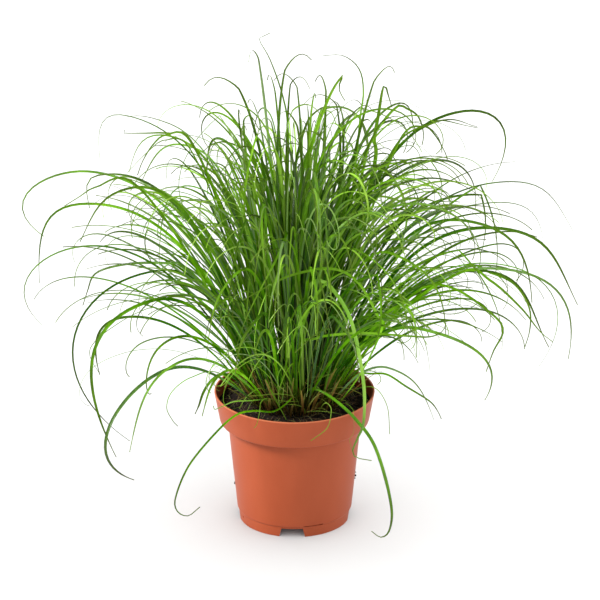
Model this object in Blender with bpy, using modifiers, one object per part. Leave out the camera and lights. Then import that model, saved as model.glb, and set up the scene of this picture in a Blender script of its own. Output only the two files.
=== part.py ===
"""Potted umbrella sedge in a 12 cm nursery pot.

Everything is in metres, +Z up. The origin is on the pot's axis, on the surface the pot stands on, and
the front of the plant looks along -Y. The pot and its soil are turned solids. The leaves are thin
blades: upright ones joined in sheathed shoots in the middle of the clump, and long arching ones that
grow singly round them, each in its own direction from the pot's axis.
"""

import math
from typing import NamedTuple

import bmesh
import bpy
from mathutils import Vector, noise

MM = 0.001
GAP = 0.3 * MM

# Pot
RIM_RADIUS = 60 * MM
POT_HEIGHT = 102 * MM
WALL = 1.4 * MM
BAND_FOOT_RADIUS = 55.8 * MM
BAND_FOOT_HEIGHT = 79.2 * MM
BODY_TOP_RADIUS = 50 * MM
BODY_FOOT_RADIUS = 42.8 * MM
BODY_FOOT_HEIGHT = 9.4 * MM
FOOT_TOP_RADIUS = 41.6 * MM
FOOT_RADIUS = 40.7 * MM
FLOOR_HEIGHT = 7.2 * MM
FLOOR_THICKNESS = 1.6 * MM
NOTCH_TOP_WIDTH = 16 * MM
NOTCH_FOOT_WIDTH = 19.4 * MM
NOTCH_HEIGHT = 6.4 * MM
NOTCH_TURN = math.radians(-2.5)
DRAIN_RADIUS = 4.5 * MM
DRAIN_CIRCLE = 26 * MM
DRAIN_COUNT = 4
POT_STEPS = 36
SOFT_EDGE = 0.6 * MM

# Soil
SOIL_HEIGHT = 93 * MM
SOIL_FLAT_RADIUS = 46 * MM
SOIL_EDGE_HEIGHT = 94 * MM
SOIL_SIDE_HEIGHT = 92 * MM
SOIL_LUMPS = 1.2 * MM
SOIL_LUMPS_PER_METRE = 140

# Clump
ROOT_RADIUS = 31 * MM
ROOT_STAGGER = 4 * MM
ROOT_HEIGHT = SOIL_HEIGHT + GAP + 0.5 * MM
BLADE_THICKNESS = 0.8 * MM
BLADE_TIP_WIDTH = 0.5 * MM
LEAF_WIDTH = 3.2 * MM
LEAF_SEGMENTS = 11
ROUTED_SEGMENTS = 14
BEND_REACH = 90 * MM
FINE_STEPS = 40
TIP_HEIGHT = 390 * MM
SHEATH_RADIUS = 3.6 * MM
SHEATH_TOP_RADIUS = 2.4 * MM
SHEATH_HEIGHT = 36 * MM
SHEATH_SIDES = 7
BLADE_START = 0.7 * SHEATH_HEIGHT
SHOOT_BLADE_WIDTH = 3 * MM
SHOOT_SEGMENTS = 5
SHOOT_CORE = 1.3 * MM
CLUMP_FLARE = (0.6, 1.1)
TIP_CURL = 1.4

# Colours, linear red, green and blue
TERRACOTTA = (0.50, 0.125, 0.055)
SOIL_BROWN = (0.016, 0.010, 0.007)
LEAF_GREEN = (0.105, 0.290, 0.018)
SHOOT_GREEN = (0.060, 0.210, 0.014)


class ArchingLeaf(NamedTuple):
    """One leaf that rises from the clump, arches over and hangs, in mm and degrees.

    azimuth is its direction at the root, from +X towards +Y, and swing how far its tip has turned from
    that. lean is 0 for a leaf that leaves the soil upright and 1 for one that heads straight for its
    crest. Reach is the distance from the pot's axis. turn is the tip's direction: 0 is level and
    outwards, 90 straight down and 180 level and inwards. hook says how wide the end bends.
    """

    azimuth: float
    swing: float
    lean: float
    crest_reach: float
    crest_height: float
    tip_reach: float
    tip_height: float
    turn: float
    hook: float


ARCHING_LEAVES = (
    # right side, from the right round to the back
    ArchingLeaf(4, -2, 0.45, 134, 196, 190, 134, 62, 0.40),
    ArchingLeaf(12, 0, 0.25, 156, 257, 213, 212, 62, 0.45),
    ArchingLeaf(20, 2, 0.35, 144, 231, 202, 184, 88, 0.50),
    ArchingLeaf(28, 0, 0.10, 138, 300, 168, 238, 125, 0.65),
    ArchingLeaf(44, 0, 0.20, 146, 277, 192, 261, 20, 0.30),
    ArchingLeaf(51, 3, 0.20, 120, 292, 152, 250, 88, 0.50),
    # back
    ArchingLeaf(59, 0, 0.30, 148, 244, 194, 196, 80, 0.50),
    ArchingLeaf(67, 0, 0.40, 120, 214, 182, 134, 86, 0.50),
    ArchingLeaf(75, -4, 0.25, 128, 270, 178, 216, 78, 0.50),
    ArchingLeaf(83, 2, 0.35, 110, 248, 160, 176, 96, 0.55),
    ArchingLeaf(91, 0, 0.50, 124, 190, 184, 118, 80, 0.45),
    ArchingLeaf(99, 3, 0.25, 100, 284, 158, 240, 64, 0.40),
    ArchingLeaf(107, 0, 0.40, 128, 226, 188, 160, 72, 0.45),
    ArchingLeaf(115, -2, 0.35, 116, 256, 170, 196, 92, 0.55),
    ArchingLeaf(123, 4, 0.45, 118, 222, 172, 130, 96, 0.55),
    # left side
    ArchingLeaf(131, 0, 0.30, 110, 262, 178, 214, 60, 0.40),
    ArchingLeaf(139, -3, 0.20, 128, 282, 186, 268, 30, 0.30),
    ArchingLeaf(147, 0, 0.12, 147, 290, 174, 248, 98, 0.60),
    ArchingLeaf(155, 2, 0.15, 103, 290, 134, 256, 75, 0.40),
    ArchingLeaf(163, 3, 0.30, 158, 261, 193, 207, 150, 0.75),
    ArchingLeaf(171, 0, 0.35, 149, 243, 193, 176, 92, 0.55),
    ArchingLeaf(179, -3, 0.50, 118, 160, 146, 110, 104, 0.55),
    ArchingLeaf(186, 2, 0.45, 154, 226, 188, 166, 135, 0.65),
    ArchingLeaf(193, 0, 0.40, 99, 209, 126, 73, 140, 0.70),
    ArchingLeaf(201, 3, 0.35, 156, 300, 163, 276, 100, 0.40),
    ArchingLeaf(209, 0, 0.40, 136, 292, 178, 258, 60, 0.40),
    ArchingLeaf(217, 2, 0.50, 132, 209, 168, 95, 115, 0.70),
    ArchingLeaf(225, 0, 0.60, 134, 160, 166, 82, 150, 0.85),
    ArchingLeaf(233, -2, 0.60, 138, 172, 190, 118, 76, 0.45),
    ArchingLeaf(240, 2, 0.60, 110, 158, 143, 137, 50, 0.40),
    # front
    ArchingLeaf(248, 0, 0.30, 112, 240, 168, 196, 78, 0.50),
    ArchingLeaf(256, -3, 0.45, 96, 202, 146, 176, 92, 0.50),
    ArchingLeaf(264, 2, 0.25, 104, 262, 162, 224, 80, 0.50),
    ArchingLeaf(272, 0, 0.45, 112, 216, 182, 186, 72, 0.45),
    ArchingLeaf(280, -4, 0.35, 88, 236, 150, 200, 90, 0.55),
    ArchingLeaf(288, 0, 0.50, 98, 200, 152, 172, 84, 0.50),
    ArchingLeaf(298, 4, 0.30, 96, 250, 156, 202, 92, 0.50),
    ArchingLeaf(308, 0, 0.40, 106, 214, 160, 172, 80, 0.50),
    # front right
    ArchingLeaf(315, -3, 0.35, 104, 244, 164, 200, 84, 0.50),
    ArchingLeaf(320, 0, 0.55, 92, 146, 134, 116, 64, 0.45),
    ArchingLeaf(328, 3, 0.45, 108, 176, 160, 128, 120, 0.65),
    ArchingLeaf(336, 0, 0.30, 138, 262, 190, 206, 86, 0.50),
    ArchingLeaf(343, -2, 0.40, 158, 224, 190, 148, 122, 0.65),
    ArchingLeaf(350, 0, 0.30, 150, 244, 212, 187, 64, 0.45),
    ArchingLeaf(357, 0, 0.45, 144, 204, 204, 132, 100, 0.55),
)


class RoutedLeaf(NamedTuple):
    """A leaf that follows points of its own, in mm, with its width at the middle."""

    name: str
    width: float
    route: tuple


ROUTED_LEAVES = (
    RoutedLeaf(
        "trailing_leaf_left",
        3.0,
        (
            (2, -26, 94),
            (3, -28, 108),
            (1, -33, 114),
            (-6, -40, 109),
            (-16, -46, 105),
            (-30, -49, 107),
            (-43, -52, 105),
            (-58, -57, 93),
            (-78, -63, 69),
            (-88, -67, 45),
            (-87, -70, 35),
            (-79, -70, 31),
            (-70, -67, 37),
        ),
    ),
    RoutedLeaf(
        "trailing_leaf_right",
        4.2,
        (
            (9, -25, 94),
            (9, -28, 109),
            (12, -34, 118),
            (21, -40, 118),
            (33, -47, 112),
            (45, -53, 102),
            (58, -62, 87),
            (67, -73, 64),
            (72, -81, 40),
            (70, -84, 25),
            (64, -84, 20),
            (57, -82, 24),
        ),
    ),
    RoutedLeaf(
        "folded_leaf",
        4.4,
        (
            (6, -20, 94),
            (6, -26, 130),
            (7, -33, 168),
            (11, -46, 205),
            (22, -53, 212),
            (36, -60, 197),
            (44, -65, 177),
            (51, -69, 137),
            (51, -70, 107),
            (47, -68, 94),
            (43, -66, 82),
            (46, -69, 78),
            (57, -72, 77),
        ),
    ),
)


class Shoot(NamedTuple):
    """A sheathed shoot: its place in the clump and the height of its tallest blade's tip, in mm.

    azimuth is the direction, in degrees, in which that blade stands out from the others.
    """

    x: float
    y: float
    height: float
    azimuth: float


SHOOTS = (
    Shoot(-9, -1, 390, 250),
    Shoot(5, 8, 352, 155),
    Shoot(6, -8, 344, 342),
    Shoot(22, 1, 362, 40),
    Shoot(13, 18, 338, 115),
    Shoot(-5, 22, 346, 320),
    Shoot(-21, 9, 328, 305),
    Shoot(-20, -11, 322, 80),
    Shoot(-4, -22, 318, 75),
    Shoot(15, -17, 330, 170),
)


class ShootBlade(NamedTuple):
    """A blade of every shoot: its share of the shoot's height, and how far its tip bends out, in mm."""

    height: float
    bend: float


SHOOT_BLADES = (
    ShootBlade(1.0, 14),
    ShootBlade(0.86, 36),
    ShootBlade(0.94, 26),
    ShootBlade(0.78, 44),
    ShootBlade(0.90, 30),
)


def clear_scene():
    """Empty the scene, so that the model is all there is in it."""
    for item in list(bpy.data.objects):
        bpy.data.objects.remove(item, do_unlink=True)


def new_collection(name):
    """A collection linked to the scene."""
    made = bpy.data.collections.new(name)
    bpy.context.scene.collection.children.link(made)
    return made


def finish(name, colour, roughness):
    """A plain Principled material."""
    made = bpy.data.materials.new(name)
    made.use_nodes = True
    shader = made.node_tree.nodes["Principled BSDF"]
    shader.inputs["Base Color"].default_value = (*colour, 1)
    shader.inputs["Roughness"].default_value = roughness
    shader.inputs["Metallic"].default_value = 0
    made.diffuse_color = (*colour, 1)
    return made


def add_object(name, mesh, collection, material=None):
    """Put a mesh into a collection as a named object."""
    made = bpy.data.objects.new(name, mesh)
    collection.objects.link(made)
    if material:
        mesh.materials.append(material)
    return made


def outline_mesh(name, outline, closed):
    """Edges through (radius, height) points in the XZ plane, for a Screw modifier to turn."""
    count = len(outline)
    edges = [(i, i + 1) for i in range(count - 1)]
    if closed:
        edges.append((count - 1, 0))
    mesh = bpy.data.meshes.new(name)
    mesh.from_pydata([(r, 0, z) for r, z in outline], edges, [])
    return mesh


def turned(name, outline, steps, collection, material, closed=False):
    """A solid of revolution from an outline that runs down its outer side."""
    made = add_object(name, outline_mesh(name, outline, closed), collection, material)
    screw = made.modifiers.new("turn", "SCREW")
    screw.steps = screw.render_steps = steps
    screw.use_merge_vertices = True
    screw.merge_threshold = 0.00001
    screw.use_smooth_shade = True
    return made


def make_guide(item):
    """Hide a cutter from the render and show it as wire."""
    item.hide_render = True
    item.display_type = "WIRE"


def apply_modifiers(item):
    """Replace an object's mesh by its evaluated one."""
    bpy.context.view_layer.update()
    evaluated = item.evaluated_get(bpy.context.evaluated_depsgraph_get())
    mesh = bpy.data.meshes.new_from_object(evaluated)
    item.modifiers.clear()
    item.data = mesh


def cut(item, cutter):
    """Take a cutter away from an object."""
    boolean = item.modifiers.new("cut_" + cutter.name, "BOOLEAN")
    boolean.operation = "DIFFERENCE"
    boolean.object = cutter


def wall_height_share(height):
    """How far up the pot's body a height is, from 0 at its foot to 1 under the band."""
    return (height - BODY_FOOT_HEIGHT) / (BAND_FOOT_HEIGHT - BODY_FOOT_HEIGHT)


def body_radius(height):
    """The pot body's outer radius."""
    return BODY_FOOT_RADIUS + (BODY_TOP_RADIUS - BODY_FOOT_RADIUS) * wall_height_share(height)


def band_radius(height):
    """The outer radius of the band round the rim."""
    share = (height - BAND_FOOT_HEIGHT) / (POT_HEIGHT - BAND_FOOT_HEIGHT)
    return BAND_FOOT_RADIUS + (RIM_RADIUS - BAND_FOOT_RADIUS) * share


def pot_outline():
    """The wall's closed outline: lip, band, body and foot ring outside, then floor and wall inside."""
    outside = [
        (RIM_RADIUS - SOFT_EDGE, POT_HEIGHT),
        (RIM_RADIUS, POT_HEIGHT - SOFT_EDGE),
        (band_radius(BAND_FOOT_HEIGHT + 2 * MM), BAND_FOOT_HEIGHT + 2 * MM),
        (BAND_FOOT_RADIUS - SOFT_EDGE, BAND_FOOT_HEIGHT + SOFT_EDGE),
        (BAND_FOOT_RADIUS - 3 * SOFT_EDGE, BAND_FOOT_HEIGHT),
        (body_radius(BAND_FOOT_HEIGHT), BAND_FOOT_HEIGHT),
        (BODY_FOOT_RADIUS, BODY_FOOT_HEIGHT),
        (BODY_FOOT_RADIUS - SOFT_EDGE, BODY_FOOT_HEIGHT - SOFT_EDGE),
        (FOOT_TOP_RADIUS, BODY_FOOT_HEIGHT - SOFT_EDGE),
        (FOOT_RADIUS, 0),
    ]
    underside = [
        (FOOT_RADIUS - WALL - SOFT_EDGE, 0),
        (FOOT_RADIUS - WALL, FLOOR_HEIGHT),
        (0, FLOOR_HEIGHT),
    ]
    inside = [
        (0, FLOOR_HEIGHT + FLOOR_THICKNESS),
        (BODY_FOOT_RADIUS - 2 * WALL, FLOOR_HEIGHT + FLOOR_THICKNESS),
        (body_radius(BODY_FOOT_HEIGHT + WALL) - WALL, BODY_FOOT_HEIGHT + WALL),
        (body_radius(BAND_FOOT_HEIGHT) - WALL, BAND_FOOT_HEIGHT + WALL),
        (BAND_FOOT_RADIUS - 2 * WALL, BAND_FOOT_HEIGHT + WALL),
        (band_radius(BAND_FOOT_HEIGHT + 2 * WALL) - WALL, BAND_FOOT_HEIGHT + 2 * WALL),
        (RIM_RADIUS - WALL, POT_HEIGHT),
    ]
    return outside + underside + inside


def notch_cutter(name, azimuth, collection):
    """A bar with a trapezoid section, straight across under the pot's floor."""
    bm = bmesh.new()
    bmesh.ops.create_cube(bm, size=1)
    height = NOTCH_HEIGHT + 2 * MM
    spread = (NOTCH_FOOT_WIDTH - NOTCH_TOP_WIDTH) / NOTCH_HEIGHT
    for vert in bm.verts:
        z = NOTCH_HEIGHT if vert.co.z > 0 else NOTCH_HEIGHT - height
        width = NOTCH_TOP_WIDTH + spread * (NOTCH_HEIGHT - z)
        vert.co = Vector((vert.co.x * 2 * RIM_RADIUS, vert.co.y * width, z))
    mesh = bpy.data.meshes.new(name)
    bm.to_mesh(mesh)
    bm.free()
    made = add_object(name, mesh, collection)
    made.rotation_euler.z = azimuth
    make_guide(made)
    return made


def drain_cutter(name, x, y, collection):
    """A cylinder through the pot's floor."""
    bm = bmesh.new()
    bmesh.ops.create_cone(
        bm,
        cap_ends=True,
        segments=10,
        radius1=DRAIN_RADIUS,
        radius2=DRAIN_RADIUS,
        depth=4 * FLOOR_THICKNESS,
    )
    mesh = bpy.data.meshes.new(name)
    bm.to_mesh(mesh)
    bm.free()
    made = add_object(name, mesh, collection)
    made.location = (x, y, FLOOR_HEIGHT + FLOOR_THICKNESS / 2)
    make_guide(made)
    return made


def build_pot(collection, cutters):
    """The nursery pot, with its foot ring cut through in four places and drain holes in its floor."""
    plastic = finish("terracotta_plastic", TERRACOTTA, 0.5)
    pot = turned("pot", pot_outline(), POT_STEPS, collection, plastic, closed=True)
    apply_modifiers(pot)
    for i in range(2):
        cut(pot, notch_cutter(f"notch_{i + 1}", NOTCH_TURN + i * math.pi / 2, cutters))
    cut(pot, drain_cutter("drain_0", 0, 0, cutters))
    for i in range(DRAIN_COUNT):
        angle = math.pi / DRAIN_COUNT + 2 * math.pi * i / DRAIN_COUNT
        x, y = DRAIN_CIRCLE * math.cos(angle), DRAIN_CIRCLE * math.sin(angle)
        cut(pot, drain_cutter(f"drain_{i + 1}", x, y, cutters))
    apply_modifiers(pot)
    pot.data.shade_smooth()
    pot.data.set_sharp_from_angle(angle=math.radians(35))
    return pot


def soil_outline():
    """The soil's outline, from the middle of its top down its side to the middle of its underside."""
    step = BAND_FOOT_HEIGHT + WALL + GAP
    inside = WALL + GAP
    return [
        (0, SOIL_HEIGHT),
        (SOIL_FLAT_RADIUS, SOIL_HEIGHT),
        (SOIL_FLAT_RADIUS + 4 * MM, SOIL_HEIGHT),
        (SOIL_FLAT_RADIUS + 8 * MM, SOIL_EDGE_HEIGHT - 0.3 * MM),
        (band_radius(SOIL_SIDE_HEIGHT) - inside, SOIL_SIDE_HEIGHT),
        (band_radius(BAND_FOOT_HEIGHT + 2 * WALL) - inside, BAND_FOOT_HEIGHT + 2 * WALL + GAP),
        (BAND_FOOT_RADIUS - 2 * WALL - GAP, step),
        (body_radius(BAND_FOOT_HEIGHT) - inside, step),
        (body_radius(BODY_FOOT_HEIGHT + WALL) - inside, BODY_FOOT_HEIGHT + WALL),
        (BODY_FOOT_RADIUS - 2 * WALL - GAP, FLOOR_HEIGHT + FLOOR_THICKNESS + GAP),
        (0, FLOOR_HEIGHT + FLOOR_THICKNESS + GAP),
    ]


def build_soil(collection):
    """The soil, level under the clump and uneven in the ring between the clump and the rim."""
    earth = finish("soil", SOIL_BROWN, 0.95)
    soil = turned("soil", soil_outline(), POT_STEPS, collection, earth)
    apply_modifiers(soil)
    for vert in soil.data.vertices:
        reach = math.hypot(vert.co.x, vert.co.y)
        if vert.co.z > SOIL_HEIGHT - GAP and reach > SOIL_FLAT_RADIUS + MM:
            vert.co.z += SOIL_LUMPS * noise.noise(vert.co * SOIL_LUMPS_PER_METRE)
    return soil


def bezier(points, t):
    """A point of a cubic Bezier curve through four points."""
    a, b, c, d = points
    u = 1 - t
    return a * u**3 + 3 * b * u * u * t + 3 * c * u * t * t + d * t**3


def resample(fine, segments):
    """Points along a chain of close ones, nearer together where it bends."""
    runs = [0.0, (fine[1] - fine[0]).length]
    for a, b, c in zip(fine, fine[1:], fine[2:]):
        bend = (b - a).angle(c - b, 0)
        runs.append(runs[-1] + (c - b).length + BEND_REACH * bend)
    points = []
    at = 0
    for i in range(segments + 1):
        wanted = runs[-1] * i / segments
        while at < len(runs) - 2 and runs[at + 1] < wanted:
            at += 1
        share = (wanted - runs[at]) / (runs[at + 1] - runs[at])
        points.append(fine[at].lerp(fine[at + 1], share))
    return points


def arch(leaf, root_radius):
    """The (reach, height) curve of an arching leaf: up to its crest and down to its tip."""
    root = Vector((root_radius, ROOT_HEIGHT))
    crest = Vector((leaf.crest_reach, leaf.crest_height)) * MM
    tip = Vector((leaf.tip_reach, leaf.tip_height)) * MM
    bend = Vector((root.x + leaf.lean * (crest.x - root.x), crest.y))
    rise = (root, root.lerp(bend, 2 / 3), crest.lerp(bend, 2 / 3), crest)
    span = (tip - crest).length
    turn = math.radians(leaf.turn)
    heading = Vector((math.cos(turn), -math.sin(turn)))
    fall = (crest, crest + Vector((span / 2, 0)), tip - heading * leaf.hook * span, tip)
    fine = [bezier(rise, i / FINE_STEPS) for i in range(FINE_STEPS)]
    return fine + [bezier(fall, i / FINE_STEPS) for i in range(FINE_STEPS + 1)]


def arching_spine(leaf, root_radius, segments):
    """An arching leaf's middle line, and the level direction across it at each point."""
    spine, across = [], []
    for i, point in enumerate(resample(arch(leaf, root_radius), segments)):
        angle = math.radians(leaf.azimuth + leaf.swing * (i / segments) ** 2)
        out = Vector((math.cos(angle), math.sin(angle), 0))
        spine.append(out * point.x + Vector((0, 0, point.y)))
        across.append(Vector((-out.y, out.x, 0)))
    return spine, across


def smooth_route(route):
    """Close points on a smooth curve through a route's own points."""
    points = [Vector(p) * MM for p in route]
    ends = [points[0] * 2 - points[1], *points, points[-1] * 2 - points[-2]]
    fine = []
    for a, b, c, d in zip(ends, ends[1:], ends[2:], ends[3:]):
        handles = (b, b + (c - a) / 6, c - (d - b) / 6, c)
        fine += [bezier(handles, i / FINE_STEPS) for i in range(FINE_STEPS)]
    return fine + [points[-1]]


def routed_spine(leaf, segments):
    """A routed leaf's middle line, and the level direction across it at each point."""
    spine = resample(smooth_route(leaf.route), segments)
    across = []
    for before, after in zip(spine[:1] + spine[:-1], spine[1:] + spine[-1:]):
        run = after - before
        across.append(Vector((-run.y, run.x, 0)).normalized())
    for i in range(1, len(across)):
        if across[i].dot(across[i - 1]) < 0:
            across[i] = -across[i]
    return spine, across


def blade_width(share, width):
    """A blade's width along its length: narrower at the root, full for a third, then drawn to a point."""
    taper = min(1, 0.75 + 2.5 * share) * (1 - max(0, share - 0.3) / 0.7) ** 0.8
    return max(BLADE_TIP_WIDTH, width * taper)


def add_blade(name, spine, across, width, collection, material=None):
    """A leaf blade: a strip bent along its middle line and given its thickness."""
    segments = len(spine) - 1
    bm = bmesh.new()
    bmesh.ops.create_grid(bm, x_segments=1, y_segments=segments, size=1)
    for vert in bm.verts:
        row = round((vert.co.y + 1) / 2 * segments)
        half = blade_width(row / segments, width) / 2
        vert.co = spine[row] + across[row] * (half if vert.co.x > 0 else -half)
    mesh = bpy.data.meshes.new(name)
    bm.to_mesh(mesh)
    bm.free()
    blade = add_object(name, mesh, collection, material)
    thicken = blade.modifiers.new("thickness", "SOLIDIFY")
    thicken.thickness = BLADE_THICKNESS
    thicken.offset = 0
    return blade


def clump_share(height):
    """How far up the clump a height is, from 0 at the soil to 1 at the tallest tip."""
    return (height - SOIL_HEIGHT) / (TIP_HEIGHT - SOIL_HEIGHT)


def shoot_axis(shoot, height):
    """A point of a shoot's middle line, which leans outwards as the clump flares."""
    share = clump_share(height)
    flare = 1 + CLUMP_FLARE[0] * share + CLUMP_FLARE[1] * share**2
    return Vector((shoot.x * MM * flare, shoot.y * MM * flare, height))


def shoot_spine(shoot, blade, azimuth, segments):
    """The middle line of one of a shoot's blades, which rises from the sheath and bends out at its tip."""
    start = ROOT_HEIGHT + BLADE_START
    top = SOIL_HEIGHT + (shoot.height * MM - SOIL_HEIGHT) * blade.height
    out = Vector((math.cos(azimuth), math.sin(azimuth), 0))
    spine = []
    for i in range(segments + 1):
        share = i / segments
        height = start + (top - start) * (1 - (1 - share) ** TIP_CURL)
        fan = SHOOT_CORE + blade.bend * MM * share**3
        spine.append(shoot_axis(shoot, height) + out * fan)
    return spine


def add_sheath(name, shoot, collection, material):
    """The closed sheath that a shoot's blades come out of, a little wider at the soil."""
    bm = bmesh.new()
    bmesh.ops.create_cone(
        bm,
        cap_ends=True,
        segments=SHEATH_SIDES,
        radius1=SHEATH_RADIUS,
        radius2=SHEATH_TOP_RADIUS,
        depth=SHEATH_HEIGHT,
    )
    for vert in bm.verts:
        height = ROOT_HEIGHT + SHEATH_HEIGHT / 2 + vert.co.z
        vert.co = shoot_axis(shoot, height) + Vector((vert.co.x, vert.co.y, 0))
    mesh = bpy.data.meshes.new(name)
    bm.to_mesh(mesh)
    bm.free()
    return add_object(name, mesh, collection, material)


def check_tips(item, tips):
    """Stop the build if a union has lost a blade, which Blender does without an error."""
    for tip in tips:
        if min((vert.co - tip).length for vert in item.data.vertices) > BLADE_THICKNESS:
            raise RuntimeError(f"{item.name} has lost a blade in its union")


def build_shoot(name, shoot, collection, cutters, material):
    """A shoot: five blades of different heights joined in one sheath."""
    made = add_sheath(name, shoot, collection, material)
    tips = []
    for i, blade in enumerate(SHOOT_BLADES):
        azimuth = math.radians(shoot.azimuth + 360 * i / len(SHOOT_BLADES))
        spine = shoot_spine(shoot, blade, azimuth, SHOOT_SEGMENTS)
        tips.append(spine[-1])
        across = [Vector((-math.sin(azimuth), math.cos(azimuth), 0))] * len(spine)
        joined = add_blade(f"{name}_blade_{i + 1}", spine, across, SHOOT_BLADE_WIDTH, cutters)
        make_guide(joined)
        join = made.modifiers.new("join_" + joined.name, "BOOLEAN")
        join.operation = "UNION"
        join.object = joined
    apply_modifiers(made)
    check_tips(made, tips)
    return made


def build_leaves(collection, cutters):
    """All the leaves of the clump."""
    leaf_green = finish("leaf", LEAF_GREEN, 0.5)
    shoot_green = finish("shoot", SHOOT_GREEN, 0.5)
    for i, shoot in enumerate(SHOOTS):
        build_shoot(f"shoot_{i + 1:02d}", shoot, collection, cutters, shoot_green)
    for i, leaf in enumerate(ARCHING_LEAVES):
        root_radius = ROOT_RADIUS + ROOT_STAGGER * (i % 2)
        spine, across = arching_spine(leaf, root_radius, LEAF_SEGMENTS)
        add_blade(f"leaf_{i + 1:02d}", spine, across, LEAF_WIDTH, collection, leaf_green)
    for leaf in ROUTED_LEAVES:
        spine, across = routed_spine(leaf, ROUTED_SEGMENTS)
        add_blade(leaf.name, spine, across, leaf.width * MM, collection, leaf_green)


def main():
    """Build the pot, the soil and the plant."""
    clear_scene()
    model = new_collection("potted_umbrella_sedge")
    cutters = new_collection("cutters")
    build_pot(model, cutters)
    build_soil(model)
    build_leaves(model, cutters)


main()
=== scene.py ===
"""Potted umbrella sedge in a moulded nursery pot: its fine shapes and its finishes.

The frame holds plain solids of the pot, the soil, ten sheathed shoots and the long arching leaves. Here each
of them gets its real form, and the rest of the clump grows round them: sheathed tillers with several hundred
narrow folded blades, hair-fine side leaves, withered sheaths, and crumbs and fibres on the soil.

Everything is in metres, +Z up. The origin is on the pot's axis, on the surface that the pot stands on, and
the front of the plant looks along -Y.
"""

import logging
import math
from dataclasses import dataclass, field
from enum import Enum
from typing import NamedTuple

import bmesh
import bpy
import numpy as np
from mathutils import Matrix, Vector, noise


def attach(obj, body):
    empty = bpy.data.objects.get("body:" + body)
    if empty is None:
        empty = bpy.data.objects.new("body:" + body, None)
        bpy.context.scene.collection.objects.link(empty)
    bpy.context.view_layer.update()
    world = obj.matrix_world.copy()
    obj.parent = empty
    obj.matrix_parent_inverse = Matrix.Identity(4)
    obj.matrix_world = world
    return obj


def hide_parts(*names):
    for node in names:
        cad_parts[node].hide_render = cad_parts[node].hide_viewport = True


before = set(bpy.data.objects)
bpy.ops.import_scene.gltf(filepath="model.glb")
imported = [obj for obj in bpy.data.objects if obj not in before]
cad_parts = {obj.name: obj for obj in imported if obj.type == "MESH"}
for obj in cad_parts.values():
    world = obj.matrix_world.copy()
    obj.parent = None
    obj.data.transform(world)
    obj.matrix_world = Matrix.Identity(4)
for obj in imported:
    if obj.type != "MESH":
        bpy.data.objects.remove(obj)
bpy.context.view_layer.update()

logging.basicConfig(level=logging.INFO, format="%(message)s")
log = logging.getLogger("umbrella_sedge")

MM = 0.001
GAP = 0.3 * MM
BODY = "root"

# how much higher a place looks from the front for its distance behind the axis
BACK_RISE = 0.43

Colour = tuple[float, float, float]
Span = tuple[float, float]
Mesh = bpy.types.Mesh
Socket = bpy.types.NodeSocket


class Slot(Enum):
    """The record's material slots."""

    POT = "pot"
    SOIL = "soil"
    SHOOT = "shoot"
    LEAF = "leaf"


def hand_over(piece: bpy.types.Object, slot: Slot, *nodes: str) -> None:
    """Attach a finished piece to the body that it rides on, hide the solids that it stands for and log its
    faces.

    Args:
        piece: The finished mesh object, at the origin.
        slot: The record's material slot for the piece; not used.
        nodes: The names of the CAD nodes that it replaces.
    """
    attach(piece, BODY)
    if nodes:
        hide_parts(*nodes)
    log.info("%s: %d faces", piece.name, len(piece.data.polygons))


def add_piece(name: str, mesh: Mesh, material: bpy.types.Material | None = None) -> bpy.types.Object:
    """Link a mesh to the scene as a named object.

    Args:
        name: The object's name.
        mesh: Its mesh, in world coordinates.
        material: A material to add to the mesh, if it has none yet.

    Returns:
        The new object.
    """
    mesh.name = name
    piece = bpy.data.objects.new(name, mesh)
    bpy.context.scene.collection.objects.link(piece)
    if material:
        mesh.materials.append(material)
    return piece


def mesh_from(bm: bmesh.types.BMesh, name: str) -> Mesh:
    """Turn a mesh under construction into a finished one.

    Args:
        bm: The mesh under construction, which is freed.
        name: The new mesh's name.

    Returns:
        The new mesh.
    """
    mesh = bpy.data.meshes.new(name)
    bm.to_mesh(mesh)
    bm.free()
    return mesh


def evaluated_mesh(item: bpy.types.Object) -> Mesh:
    """A plain mesh of an object as its modifiers leave it, without the empty material slots they add.

    Args:
        item: The object to copy.

    Returns:
        The plain mesh.
    """
    bpy.context.view_layer.update()
    mesh = bpy.data.meshes.new_from_object(item.evaluated_get(bpy.context.evaluated_depsgraph_get()))
    for index in reversed(range(len(mesh.materials))):
        if mesh.materials[index] is None:
            mesh.materials.pop(index=index)
    return mesh


def smooth(mesh: Mesh, crease: float) -> None:
    """Shade a mesh smooth, apart from its creases.

    Args:
        mesh: The mesh to shade.
        crease: The angle between faces, in degrees, from which an edge stays sharp.
    """
    mesh.shade_smooth()
    mesh.set_sharp_from_angle(angle=math.radians(crease))


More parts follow.
